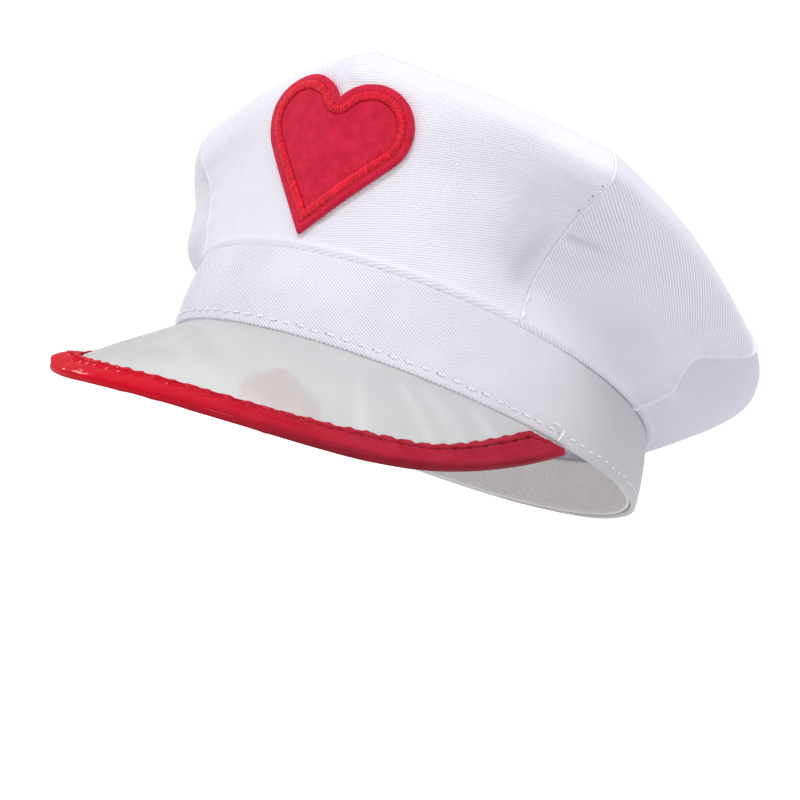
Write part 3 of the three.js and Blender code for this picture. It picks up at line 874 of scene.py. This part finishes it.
def ringLengths(steps):
    return runLengths([bandPoint(360 * step / steps, 0.2, 0) for step in range(steps + 1)])


def bandWave(point):
    spread = Vector((point.x, point.y, 0)) / bandCloth["waveSize"]
    return bandCloth["wave"] * noise.noise(spread + Vector((0, 0, 3.1)))


# How much painted shade greys the band, at an angle of the ring
def bandShade(angle):
    left, right = (amount * smoothStep((turn - start) / span) for turn, (amount, start, span) in (
        (angle, bandCloth["leftShade"]), (-angle, bandCloth["rightShade"])))
    return bandCloth["shade"] + left + right


def makeBand():
    columns = bandCloth["columns"]
    lengths = ringLengths(columns)
    inset = bandCloth["edgeRound"]
    profile = ringProfile(0.0, 1.0, bandShape["wall"], bandCloth)

    def place(column, row):
        share, depth, lift = profile[row]
        angle = 360 * (column % columns) / columns
        top = bandTop(angle)
        # The rolled edges stay inside the band's height
        share = mix(inset / top, 1 - inset / top, share)
        point = bandPoint(angle, share, depth)
        rise = top * share
        out = bandWave(point)
        if depth == 0.0:
            out -= bandCloth["stitchGroove"] * bump(rise - bandCloth["stitchRise"], 0.7)
            near = bump(rise - bandCloth["stitchRise"], 2.5)
            turn = 2 * math.pi * lengths[column % columns] / bandCloth["stitchPitch"]
            out += bandCloth["stitchPucker"] * math.sin(turn) * near
        return (point + outwardAt(point) * out + Vector((0, 0, lift)),
                (lengths[column], rise + depth + lift))

    bm = bmesh.new()
    layGrid(bm, columns, len(profile) - 1, place, closed=True)
    writeRibs(bm, bandShade)
    material = twillMaterial("wovenBandTwill", dict(twill, paintedShadeColour="#B9B7BB"))
    finishPiece(bm, "hatBand", material, ["band"])


makeBand()

sweatCloth = {
    "columns": 240, "wallRows": 12, "edgeRows": 4, "edgeRound": 0.5,
    "wall": 1.2, "gap": 0.4, "footRise": 1.5, "topDrop": 3.0, "wave": 0.25, "waveSize": 22.0,
}


def makeSweatband():
    columns = sweatCloth["columns"]
    lengths = ringLengths(columns)
    low = sweatCloth["footRise"] / bandShape["frontHeight"]
    high = 1 - sweatCloth["topDrop"] / bandShape["frontHeight"]
    profile = ringProfile(low, high, sweatCloth["wall"], sweatCloth)

    def place(column, row):
        share, depth, lift = profile[row]
        angle = 360 * (column % columns) / columns
        depth += bandShape["wall"] + sweatCloth["gap"]
        point = bandPoint(angle, share, depth)
        inward = abs(noise.noise(point / sweatCloth["waveSize"])) * sweatCloth["wave"]
        return (point - outwardAt(point) * inward + Vector((0, 0, lift)),
                (lengths[column], bandTop(angle) * share + depth))

    bm = bmesh.new()
    layGrid(bm, columns, len(profile) - 1, place, closed=True)
    writeRibs(bm, lambda angle: 0.0)
    lining = dict(twill, ribAngle=35, ribPitch=0.8, ridgeColour="#F1EEEB", grooveShadeColour="#D6D1CC",
                  paintedShadeColour="#B5B2AD")
    finishPiece(bm, "sweatband", twillMaterial("wovenLiningTwill", lining),
                ["sweatband"])


makeSweatband()
print("band and sweatband made")


# Visor

visorShape = {
    "halfAngle": 71.0, "reach": 72.0, "squareness": 6.57, "drop": 36.0, "dropLoss": 7.9,
    "sheet": 0.8, "solidSheet": 1.0, "seat": 0.3, "endWidth": 2.5,
    "columns": 300, "rows": 30, "tuckRows": 4, "tuckIn": 1.2, "tuckUp": 2.2,
    "wave": 0.22, "waveSize": 34.0, "crinkle": 0.2, "crinkleSize": 7.0,
    # The corner on the wearer's right is bent up: by how much, from where and over how much of the
    # half width, and over how many mm from the seam
    "cornerLift": 1.9, "cornerFrom": 0.35, "cornerSpan": 0.45, "cornerReach": 32.0,
    # Folds fan out from a point: their depth, their pitch in degrees, how strong the painted highlight
    # on them is, and where they begin to the wearer's left and from the seam
    "fanFrom": (16.0, -84.0), "fanDepth": 0.8, "fanPitch": 9.0, "fanHighlight": 2.0,
    "fanStart": 26.0, "fanSpan": 24.0, "fanRoot": 12.0,
}


def rimLine(x):
    return -capRim["halfLength"] * math.sqrt(max(0.0, 1 - (x / capRim["halfWidth"]) ** 2))


def visorHeight(x, y):
    side = math.asin(x / capRim["halfWidth"]) / math.radians(visorShape["halfAngle"])
    drop = visorShape["drop"] - visorShape["dropLoss"] * side ** 2
    height = (y - rimLine(x)) * math.tan(math.radians(drop))
    bent = smoothStep((-side - visorShape["cornerFrom"]) / visorShape["cornerSpan"])
    bent *= smoothStep((rimLine(x) - y) / visorShape["cornerReach"])
    return height + visorShape["cornerLift"] * bent - visorShape["seat"] - visorShape["solidSheet"]


def visorNormal(x, y):
    small = 0.05
    slopeX = (visorHeight(x + small, y) - visorHeight(x - small, y)) / (2 * small)
    slopeY = (visorHeight(x, y + small) - visorHeight(x, y - small)) / (2 * small)
    return Vector((-slopeX, -slopeY, 1)).normalized()


def visorOutline(steps):
    # The free edge in plan, evenly spaced from the wearer's right to the left
    fine = 2400
    points = []
    for step in range(fine + 1):
        sweep = math.pi * (step / fine - 0.5)
        side = math.copysign(abs(math.sin(sweep)) ** (2 / visorShape["squareness"]), sweep)
        width = visorShape["reach"] * math.cos(sweep)
        if width >= visorShape["endWidth"]:
            x = capRim["halfWidth"] * math.sin(side * math.radians(visorShape["halfAngle"]))
            drop = visorShape["drop"] - visorShape["dropLoss"] * side * side
            points.append(Vector((x, rimLine(x) - width * math.cos(math.radians(drop)))))
    lengths = runLengths(points)
    even = []
    for step in range(steps + 1):
        place, share = findSpan(lengths, lengths[-1] * step / steps)
        even.append(points[place - 1].lerp(points[place], share))
    return even, lengths[-1]


def visorWave(point):
    return visorShape["wave"] * noise.noise(point / visorShape["waveSize"] + Vector((2.7, 0, 0)))


def makeVisor():
    outline, length = visorOutline(visorShape["columns"])
    rows = visorShape["rows"] + visorShape["tuckRows"]
    foldHighlights = []

    def place(column, row):
        edge = outline[column]
        root = rimLine(edge.x)
        share = min(1.0, row / visorShape["rows"])
        y = edge.y + (root - edge.y) * share
        point = Vector((edge.x, y, visorHeight(edge.x, y)))
        # Fine crinkles run from the seam to the edge
        side = abs(edge.x) / capRim["halfWidth"]
        crinkle = noise.noise(Vector((edge.x / visorShape["crinkleSize"], share * 1.5, 4.2)))
        crinkle *= visorShape["crinkle"] * share * (0.35 + side ** 2)
        fanX, fanY = visorShape["fanFrom"]
        fan = math.degrees(math.atan2(y - fanY, edge.x - fanX)) / visorShape["fanPitch"]
        folded = smoothStep((edge.x - visorShape["fanStart"]) / visorShape["fanSpan"])
        folded *= smoothStep((root - y) / visorShape["fanRoot"])
        fold = noise.noise(Vector((fan, 1.9, 0))) * folded
        # Painted highlight on the raised parts of the folds
        foldHighlights.append(max(0.0, fold) * visorShape["fanHighlight"])
        crinkle += visorShape["fanDepth"] * fold
        point += visorNormal(edge.x, y) * (visorWave(point) + crinkle)
        tuck = max(0, row - visorShape["rows"]) / visorShape["tuckRows"]
        inward = Vector((-edge.x / capRim["halfWidth"] ** 2, -root / capRim["halfLength"] ** 2, 0))
        point += inward.normalized() * visorShape["tuckIn"] * math.sin(tuck * math.pi / 2)
        point.z += visorShape["tuckUp"] * tuck
        return point, (length * column / visorShape["columns"], y - edge.y)

    bm = bmesh.new()
    layGrid(bm, visorShape["columns"], rows, place)
    writeLayer(bm, "foldHighlight", foldHighlights)
    finishPiece(bm, "visorSheet", clearVinylMaterial(), ["visor"],
                solid=(visorShape["sheet"], 0.0))


makeVisor()
print("visor made")


# Binding of the visor's free edge

bindingShape = {
    "width": 13.0, "wall": 0.8, "gap": 0.3, "rootMargin": 0.4,
    "columns": 420, "leafRows": 26, "noseRows": 8,
    "stitchInset": 3.6, "stitchPitch": 7.8,
    "rowGroove": 0.5, "dimple": 1.1, "dimpleWidth": 0.9, "lipHeight": 0.6, "lipRadius": 1.8,
    "puff": 0.4, "ruffle": 0.22, "scallop": 0.3, "edgeSink": 0.5,
    "pleat": 0.22, "pleatPitch": 3.7, "tipLump": 2.2, "tipPlace": 86.0, "tipWidth": 15.0,
    "wrinkle": 0.16, "wrinkleSize": 7.0,
    # Painted shade: how dark the rolled edge is made on the wearer's left
    "edgeShade": 0.48,       # how dark the rolled edge is on the wearer's left
    "noseRound": 1.3,        # how far the rolled edge stands out, against its thickness
    "fullReach": 9.0,        # leaves narrower than this have less relief
    "holeReach": 8.0,        # and than this, no needle holes
    "stitchRound": 0.75,     # a stitch's width against its length
    # The painted shade in the row's groove and around its stitches, on the wearer's right and left
    "grooveShade": (0.5, 0.9), "stitchShade": 0.9, "stitchShadeWidth": (1.15, 0.8),
    # How much of the edge the change to the wearer's left takes, and how many such spans before it
    "lateSpan": 0.5, "lateFrom": 0.7,
    # Shares of the full width: round the wearer's right corner, and the most in front and at the
    # wearer's left; then where along the edge each change starts and how much of the edge it takes
    "cornerWidth": 0.42, "cornerFrom": 0.17, "cornerSpan": 0.2,
    "frontWidth": 0.83, "leftWidth": 0.52, "leftFrom": 0.69, "leftSpan": 0.14,
}


def bindingColumns(outline):
    # The edge's points, the way in from each and how far the leaves reach
    shape = bindingShape
    columns = []
    for step, edge in enumerate(outline):
        before, after = outline[max(0, step - 1)], outline[min(len(outline) - 1, step + 1)]
        inward = Vector((-(after.y - before.y), after.x - before.x)).normalized()
        stride, reach, length = 0.25, 0.0, 0.0
        height = visorHeight(edge.x, edge.y)
        while length < shape["width"]:
            x, y = edge.x + inward.x * (reach + stride), edge.y + inward.y * (reach + stride)
            if abs(x) >= capRim["halfWidth"] or rimLine(x) - y < shape["rootMargin"]:
                break
            length += math.hypot(stride, visorHeight(x, y) - height)
            height = visorHeight(x, y)
            reach += stride
        along = step / (len(outline) - 1)
        opened = smoothStep((along - shape["cornerFrom"]) / shape["cornerSpan"])
        narrowed = smoothStep((along - shape["leftFrom"]) / shape["leftSpan"])
        reach = min(reach * mix(shape["cornerWidth"], 1.0, opened),
                    shape["width"] * mix(shape["frontWidth"], shape["leftWidth"], narrowed))
        columns.append((edge, inward, max(reach, stride)))
    return columns


# From the middle of the visor's sheet to the middle of a leaf
leafLift = visorShape["solidSheet"] / 2 + bindingShape["gap"] + bindingShape["wall"] / 2


def makeBinding():
    shape = bindingShape
    outline, length = visorOutline(shape["columns"])
    columns = bindingColumns(outline)
    leaf, nose = shape["leafRows"], shape["noseRows"]
    pitch, inset, width = shape["stitchPitch"], shape["stitchInset"], shape["width"]
    noseReach = shape["gap"] + shape["wall"] / 2
    foldShade = []

    def place(column, row):
        edge, inward, reach = columns[column]
        along = length * column / shape["columns"]
        wave = 0.5 - 0.5 * math.cos(2 * math.pi * along / pitch)   # 0 at each stitch
        wave *= 0.7 + 0.6 * noise.noise(Vector((along / pitch / 1.3, 3.3, 0)))
        full = min(1.0, reach / shape["fullReach"])
        # 0 on the wearer's right, 1 on the left
        late = smoothStep(along / length / shape["lateSpan"] - shape["lateFrom"])
        if leaf < row < leaf + nose:
            # The rolled edge
            normal = visorNormal(edge.x, edge.y)
            turn = math.pi * ((row - leaf) / nose - 0.5)
            outward = Vector((-inward.x, -inward.y, 0))
            outward = (outward - normal * outward.dot(normal)).normalized()
            point = Vector((edge.x, edge.y, visorHeight(edge.x, edge.y)))
            point += (outward * noseReach * math.cos(turn) * shape["noseRound"]
                      + normal * leafLift * math.sin(turn))
            # Painted shade darkens the rolled edge on the wearer's left
            foldShade.append(shape["edgeShade"] * late * full)
            return point, (along, 0)
        # The two leaves, the one below first; share runs from the rolled edge to the leaf's own
        side = -1 if row <= leaf else 1
        share = 1 - row / leaf if side < 0 else (row - leaf - nose) / leaf
        slack = max(0.0, 1 - (1 - share) * width / inset)
        distance = share * reach + shape["scallop"] * slack * (wave - 0.5) * 2 * full
        x, y = edge.x + inward.x * distance, edge.y + inward.y * distance
        point = Vector((x, y, visorHeight(x, y)))
        fromInner = (1 - share) * width
        stitched = fromInner - inset
        lift = leafLift - shape["rowGroove"] * bump(stitched, 0.6) * full * mix(0.6, 1.6, late)
        toStitch = (along + pitch / 2) % pitch - pitch / 2
        away = math.hypot(toStitch * shape["stitchRound"], stitched)
        lift -= shape["dimple"] * bump(away, shape["dimpleWidth"]) * full * 0.6
        lift += shape["lipHeight"] * bump(away - shape["lipRadius"], 0.7) * full
        puffed = max(0.0, stitched) / (width - inset)
        lift += shape["puff"] * math.sin(math.pi * puffed) * full
        loose = max(0.0, -stitched) / inset
        lift += (shape["ruffle"] * wave - shape["edgeSink"]) * loose * full
        pleat = math.sin(2 * math.pi * along / shape["pleatPitch"]
                         + 3 * noise.noise(Vector((along / 9, 7.7, 0))))
        lift += shape["pleat"] * pleat * loose * full * late
        lift += shape["wrinkle"] * noise.noise(point / shape["wrinkleSize"]) * 2
        if side == 1:
            tip = bump(along - shape["tipPlace"], shape["tipWidth"])
            lift += shape["tipLump"] * tip * (1 - share) ** 0.5
        # Painted shade around the stitches, in the row's groove and near the rolled edge on the
        # wearer's left
        holed = shape["stitchShade"] * bump(away, mix(*shape["stitchShadeWidth"], late))
        grooved = bump(stitched, 0.45) * mix(*shape["grooveShade"], late)
        edged = shape["edgeShade"] * late * bump(share, 0.1)
        foldShade.append(min(1.0, max(grooved, edged, holed)) * full)
        return point + visorNormal(x, y) * side * lift, (along, side * (width - fromInner))

    bm = bmesh.new()
    layGrid(bm, shape["columns"], 2 * leaf + nose, place)
    writeLayer(bm, "foldShade", foldShade)
    finishPiece(bm, "visorBinding", redVinylMaterial(), ["visor_binding"],
                solid=(shape["wall"] * 0.75, 0.0))
    return columns, length


bindingLine, bindingLength = makeBinding()
print("binding made")


# Felt heart and its satin-stitched border

heartShape = {
    "width": 60.0, "height": 57.0, "angle": -5.5, "rise": 63.5, "lobeRadius": 16.2,
    "thickness": 1.6, "gap": 0.7, "edgeRound": 0.1,
    "borderInset": 2.6, "borderWidth": 3.4, "borderRelief": 0.9,
    "lobeSteps": 44, "notchSteps": 5, "sideSteps": 36, "rings": 14, "edgeRows": 3,
    "fuzz": 0.07, "fuzzSize": 1.6,
}


def heartOutline(inset):
    # Two round lobes that run straight down to a point, drawn in by an inset
    radius = heartShape["lobeRadius"]
    aside = heartShape["width"] / 2 - radius
    tipDrop = heartShape["height"] - radius
    notchTurn = math.acos(-aside / radius)
    tipTurn = math.atan(aside / tipDrop) + math.asin(radius / math.hypot(aside, tipDrop))

    def arc(x, y, size, start, end, steps):
        turns = [mix(start, end, step / steps) for step in range(steps + 1)]
        return [Vector((x + size * math.cos(t), y + size * math.sin(t))) for t in turns]

    lobe = arc(aside, 0, radius - inset, -tipTurn, notchTurn, heartShape["lobeSteps"])
    notch = arc(0, radius * math.sin(notchTurn), inset, notchTurn - math.pi, -math.pi / 2,
                heartShape["notchSteps"])
    tip = Vector((0, inset / math.sin(tipTurn) - tipDrop))
    sides = heartShape["sideSteps"]
    right = [tip.lerp(lobe[0], step / sides) for step in range(sides)] + lobe + notch[1:]
    left = [Vector((-point.x, point.y)) for point in reversed(right[1:-1])]
    middle = Vector((0, (radius - tipDrop) / 2))
    return [point - middle for point in right + left]


def halve(low, high, isBelow):
    # The value between two where isBelow stops being true
    for _ in range(20):
        middle = (low + high) / 2
        low, high = (middle, high) if isBelow(middle) else (low, middle)
    return low


wallTable = {}


def wallRadius(turn, level):
    # Outside of the crown's front at a whole angle and an even height
    if (turn, level) not in wallTable:
        panel = 0 if turn > crownSections[0][0] else panelCount - 1
        aim = turn if panel == 0 else turn + 360
        share = halve(0.0, 1.0, lambda share: crownPoint(panel, share, 0)[0] < aim)
        station = halve(0.0, 0.6, lambda station: crownPoint(panel, share, station)[2] < level)
        wallTable[turn, level] = crownPoint(panel, share, station)[1]
    return wallTable[turn, level]


def frontWall(angle, height):
    turn, level = math.floor(angle), math.floor(height / 2) * 2
    up = (height - level) / 2
    near, far = (mix(wallRadius(step, level), wallRadius(step, level + 2), up)
                 for step in (turn, turn + 1))
    return mix(near, far, angle - turn)


def onPatch(across, up, lift):
    height = heartShape["rise"] + up
    middleRadius = frontWall(heartShape["angle"], heartShape["rise"])
    angle = heartShape["angle"] + math.degrees(across / middleRadius)
    return polar(angle, frontWall(angle, height) + heartShape["gap"] + lift, height)


def makeHeart():
    rim = heartOutline(heartShape["edgeRound"])
    sides = len(rim)
    rings, edgeRows = heartShape["rings"], heartShape["edgeRows"]

    def place(column, row):
        # The rows climb the cut edge, then close in on the middle
        spot = rim[column % sides]
        if row < edgeRows:
            point, lift = spot, heartShape["thickness"] * row / edgeRows
        else:
            share = (row - edgeRows) / rings
            point, lift = spot * (1 - share), heartShape["thickness"]
        placed = onPatch(point.x, point.y, lift)
        fuzz = noise.noise(placed / heartShape["fuzzSize"]) * heartShape["fuzz"]
        return placed + outwardAt(placed) * fuzz * (lift > 0), (point.x, point.y)

    bm = bmesh.new()
    layGrid(bm, sides, rings + edgeRows, place, closed=True)
    closeHoles(bm)
    finishPiece(bm, "feltHeart", redFeltMaterial(), ["emblem_patch"])


makeHeart()

satinStitch = {
    "pitch": 0.36, "radius": 0.21, "sides": 5, "segments": 7,
    "slant": 0.55, "jitter": 0.35, "liftJitter": 0.12, "seed": 11,
    "paddingRows": 8, "paddingShare": 0.75,
}


def makeBorder():
    base, relief = heartShape["thickness"], heartShape["borderRelief"]
    inner = heartOutline(heartShape["borderInset"] + heartShape["borderWidth"])
    outer = heartOutline(heartShape["borderInset"])
    sides = len(outer)
    rows = satinStitch["paddingRows"]

    def place(column, row):
        # Padding under the stitches, arched from the outer edge to the inner and closed below
        a, b = outer[column % sides], inner[column % sides]
        if row > rows:
            return onPatch(*mix(b, a, (row - rows) / 2), base * 0.9), (column, row)
        lift = base + relief * satinStitch["paddingShare"] * math.sin(math.pi * row / rows)
        return onPatch(*mix(a, b, row / rows), lift), (column, row)

    bm = bmesh.new()
    layGrid(bm, sides, rows + 2, place, closed=True)

    # Distances along the middle of the border, to space the stitches evenly
    middles = [(a + b) / 2 for a, b in zip(outer, inner)]
    lengths = runLengths(middles + middles[:1])

    def across(along, share):
        place, part = findSpan(lengths, along % lengths[-1])
        a, b = (place - 1) % sides, place % sides
        return outer[a].lerp(outer[b], part).lerp(inner[a].lerp(inner[b], part), share)

    rng = random.Random(satinStitch["seed"])
    count = int(lengths[-1] / satinStitch["pitch"])
    segments = satinStitch["segments"]
    for index in range(count):
        along = index * lengths[-1] / count
        slant = satinStitch["slant"] + rng.uniform(-1, 1) * satinStitch["jitter"]
        lengthen = rng.uniform(-0.05, 0.06)
        raised = rng.uniform(0, satinStitch["liftJitter"])
        points = []
        for step in range(segments + 1):
            share = step / segments
            spot = across(along + slant * (share - 0.5) * 2, mix(-lengthen, 1 + lengthen, share))
            lift = base + (relief + raised) * math.sin(math.pi * share) ** 0.7
            points.append(onPatch(spot.x, spot.y, lift - 0.05))
        addThread(bm, points, satinStitch["radius"], satinStitch["sides"], rng.uniform(0.05, 0.75))
    material = threadMaterial("rayonSatinThread", "#FF1A3C", "#B80828", 0.3, 0.3, 0.0)
    finishPiece(bm, "satinBorder", material, ["emblem_border"])


makeBorder()
print("heart made")


# Stitches and needle holes

def addHole(bm, spot, along, normal, length, width, depth):
    # A needle hole: a small flat lens sunk in the surface, whose dark material is painted shade
    aside = along.cross(normal).normalized()
    made = bmesh.ops.create_icosphere(bm, subdivisions=1, radius=1.0)
    turn = Matrix((along.normalized() * length, aside * width, normal * depth)).transposed().to_4x4()
    bmesh.ops.transform(bm, matrix=Matrix.Translation(spot) @ turn, verts=made["verts"])


def onBand(along, rise, lengths, lift):
    # A place on the outside of the band, so far round it and up it in mm
    place, part = findSpan(lengths, along % lengths[-1])
    angle = 360 * (place - 1 + part) / (len(lengths) - 1)
    point = bandPoint(angle, rise / bandTop(angle), 0)
    outward = outwardAt(point)
    return point + outward * (bandWave(point) + lift), outward


bandStitch = {
    "length": 3.2, "radius": 0.26, "sides": 6, "segments": 6, "sink": -0.3, "arch": 0.42,
    "slant": 0.25, "jitter": 0.25, "tone": 0.6, "seed": 5,
}


def makeBandStitches():
    lengths = ringLengths(bandCloth["columns"])
    count = round(lengths[-1] / bandCloth["stitchPitch"])
    rng = random.Random(bandStitch["seed"])
    threads, holes = bmesh.new(), bmesh.new()
    for index in range(count):
        along = index * lengths[-1] / count
        rise = bandCloth["stitchRise"] + rng.uniform(-1, 1) * bandStitch["jitter"]
        points = []
        for step in range(bandStitch["segments"] + 1):
            share = step / bandStitch["segments"]
            lift = bandStitch["sink"] + bandStitch["arch"] * math.sin(math.pi * share)
            points.append(onBand(along + bandStitch["length"] * (share - 0.5),
                                 rise + bandStitch["slant"] * (share - 0.5), lengths, lift)[0])
        addThread(threads, points, bandStitch["radius"], bandStitch["sides"], bandStitch["tone"])
        ahead = (points[-1] - points[0]).normalized()
        for end in (-1, 1):
            size = rng.uniform(0.2, 0.34)
            spot, outward = onBand(along + (bandStitch["length"] / 2 + 0.1) * end, rise, lengths, -0.2)
            addHole(holes, spot, ahead, outward, size, size * 0.8, 0.1)
    thread = threadMaterial("spunWhiteThread", "#FFFFFF", "#E2E2EA", 0.5)
    finishPiece(threads, "bandStitches", thread)
    finishPiece(holes, "bandNeedleHoles", needleHoleMaterial("clothNeedleHole", "#8D8B98"))


makeBandStitches()


# The slack stitches of the left front seam: places up the seam, in mm, with a hole and a thread each
slackStitches = {
    "rises": (44.5, 47.8, 50.4, 52.6, 55.8, 58.6), "gap": 1.0, "radius": 0.24, "sides": 6,
    "tone": 0.6,
}


def makeSlackStitches():
    threads, holes = bmesh.new(), bmesh.new()
    stations, rises = zip(*panelStations(0))

    def onPanel(rise, gap, lift):
        place, part = findSpan(rises, rise)
        station = mix(stations[place - 1], stations[place], part)
        edge, inside = (polar(*crownPoint(0, share, station)) for share in (1.0, 0.95))
        width = 20 * (edge - inside).length
        point = polar(*crownPoint(0, 1 - gap / width, station))
        above = polar(*crownPoint(0, 1 - gap / width, station + 0.01))
        normal = (inside - edge).cross(above - point).normalized()
        if normal.dot(Vector((point.x, point.y, 0))) < 0:
            normal = -normal
        return point + normal * lift, normal, (edge - inside).normalized()

    for index, rise in enumerate(slackStitches["rises"]):
        spot, normal, aside = onPanel(rise, slackStitches["gap"], 0.06)
        addHole(holes, spot, aside, normal, 0.42 + 0.1 * (index % 2), 0.3, 0.12)
        # From the hole, over the slack seam and down to the next panel: gap, rise and lift
        line = [(slackStitches["gap"] - 0.2, 0.0, 0.05), (0.5, 0.5, 0.55), (-0.3, 1.0, 0.45)]
        points = [onPanel(rise + up, gap, lift)[0] for gap, up, lift in line]
        addThread(threads, points, slackStitches["radius"], slackStitches["sides"],
                  slackStitches["tone"])
    thread = threadMaterial("spunSeamThread", "#FFFFFF", "#E8E8F0", 0.5)
    finishPiece(threads, "seamThreads", thread)
    finishPiece(holes, "seamNeedleHoles", needleHoleMaterial("seamHole", "#6E6C78"))


makeSlackStitches()

# Loose thread ends near the end of the visor: angle and rise of each point, with its lift, in mm
looseThreads = [
    [(65.6, 5.6, 0.2), (65.4, 4.2, 0.9), (65.0, 2.4, 1.3), (64.4, 0.6, 1.5), (64.0, -0.8, 1.4)],
    [(61.6, 5.0, 0.1), (62.6, 5.6, 0.6), (63.8, 5.4, 0.8), (65.2, 4.7, 0.3)],
]
looseThread = {"radius": 0.2, "sides": 6, "tone": 0.8}


def makeLooseThreads():
    bm = bmesh.new()
    for line in looseThreads:
        points = []
        for angle, rise, lift in line:
            point = bandPoint(angle, rise / bandTop(angle), 0)
            points.append(point + outwardAt(point) * lift)
        addThread(bm, points, looseThread["radius"], looseThread["sides"], looseThread["tone"])
    thread = threadMaterial("spunLooseThread", "#FFFFFF", "#EDEDF2", 0.5)
    finishPiece(bm, "looseThreads", thread)


makeLooseThreads()


def makeBindingHoles():
    holes = bmesh.new()
    pitch, steps = bindingShape["stitchPitch"], bindingShape["columns"]
    share = 1 - bindingShape["stitchInset"] / bindingShape["width"]
    for index in range(1, int(bindingLength / pitch)):
        place = round(index * pitch / bindingLength * steps)
        edge, inward, reach = bindingLine[place]
        if reach < bindingShape["holeReach"]:
            continue
        x, y = edge.x + inward.x * reach * share, edge.y + inward.y * reach * share
        normal = visorNormal(x, y)
        nextEdge = bindingLine[min(steps, place + 1)][0]
        ahead = Vector((nextEdge.x - edge.x, nextEdge.y - edge.y, 0))
        ahead = (ahead - normal * ahead.dot(normal)).normalized()
        for side in (1, -1):
            spot = Vector((x, y, visorHeight(x, y))) + normal * side * (leafLift - 0.42)
            addHole(holes, spot, ahead, normal * side, 0.85, 0.3, 0.18)
    hole = needleHoleMaterial("vinylNeedleHole", "#4A0610")
    finishPiece(holes, "bindingNeedleHoles", hole)


makeBindingHoles()
print("stitches made")
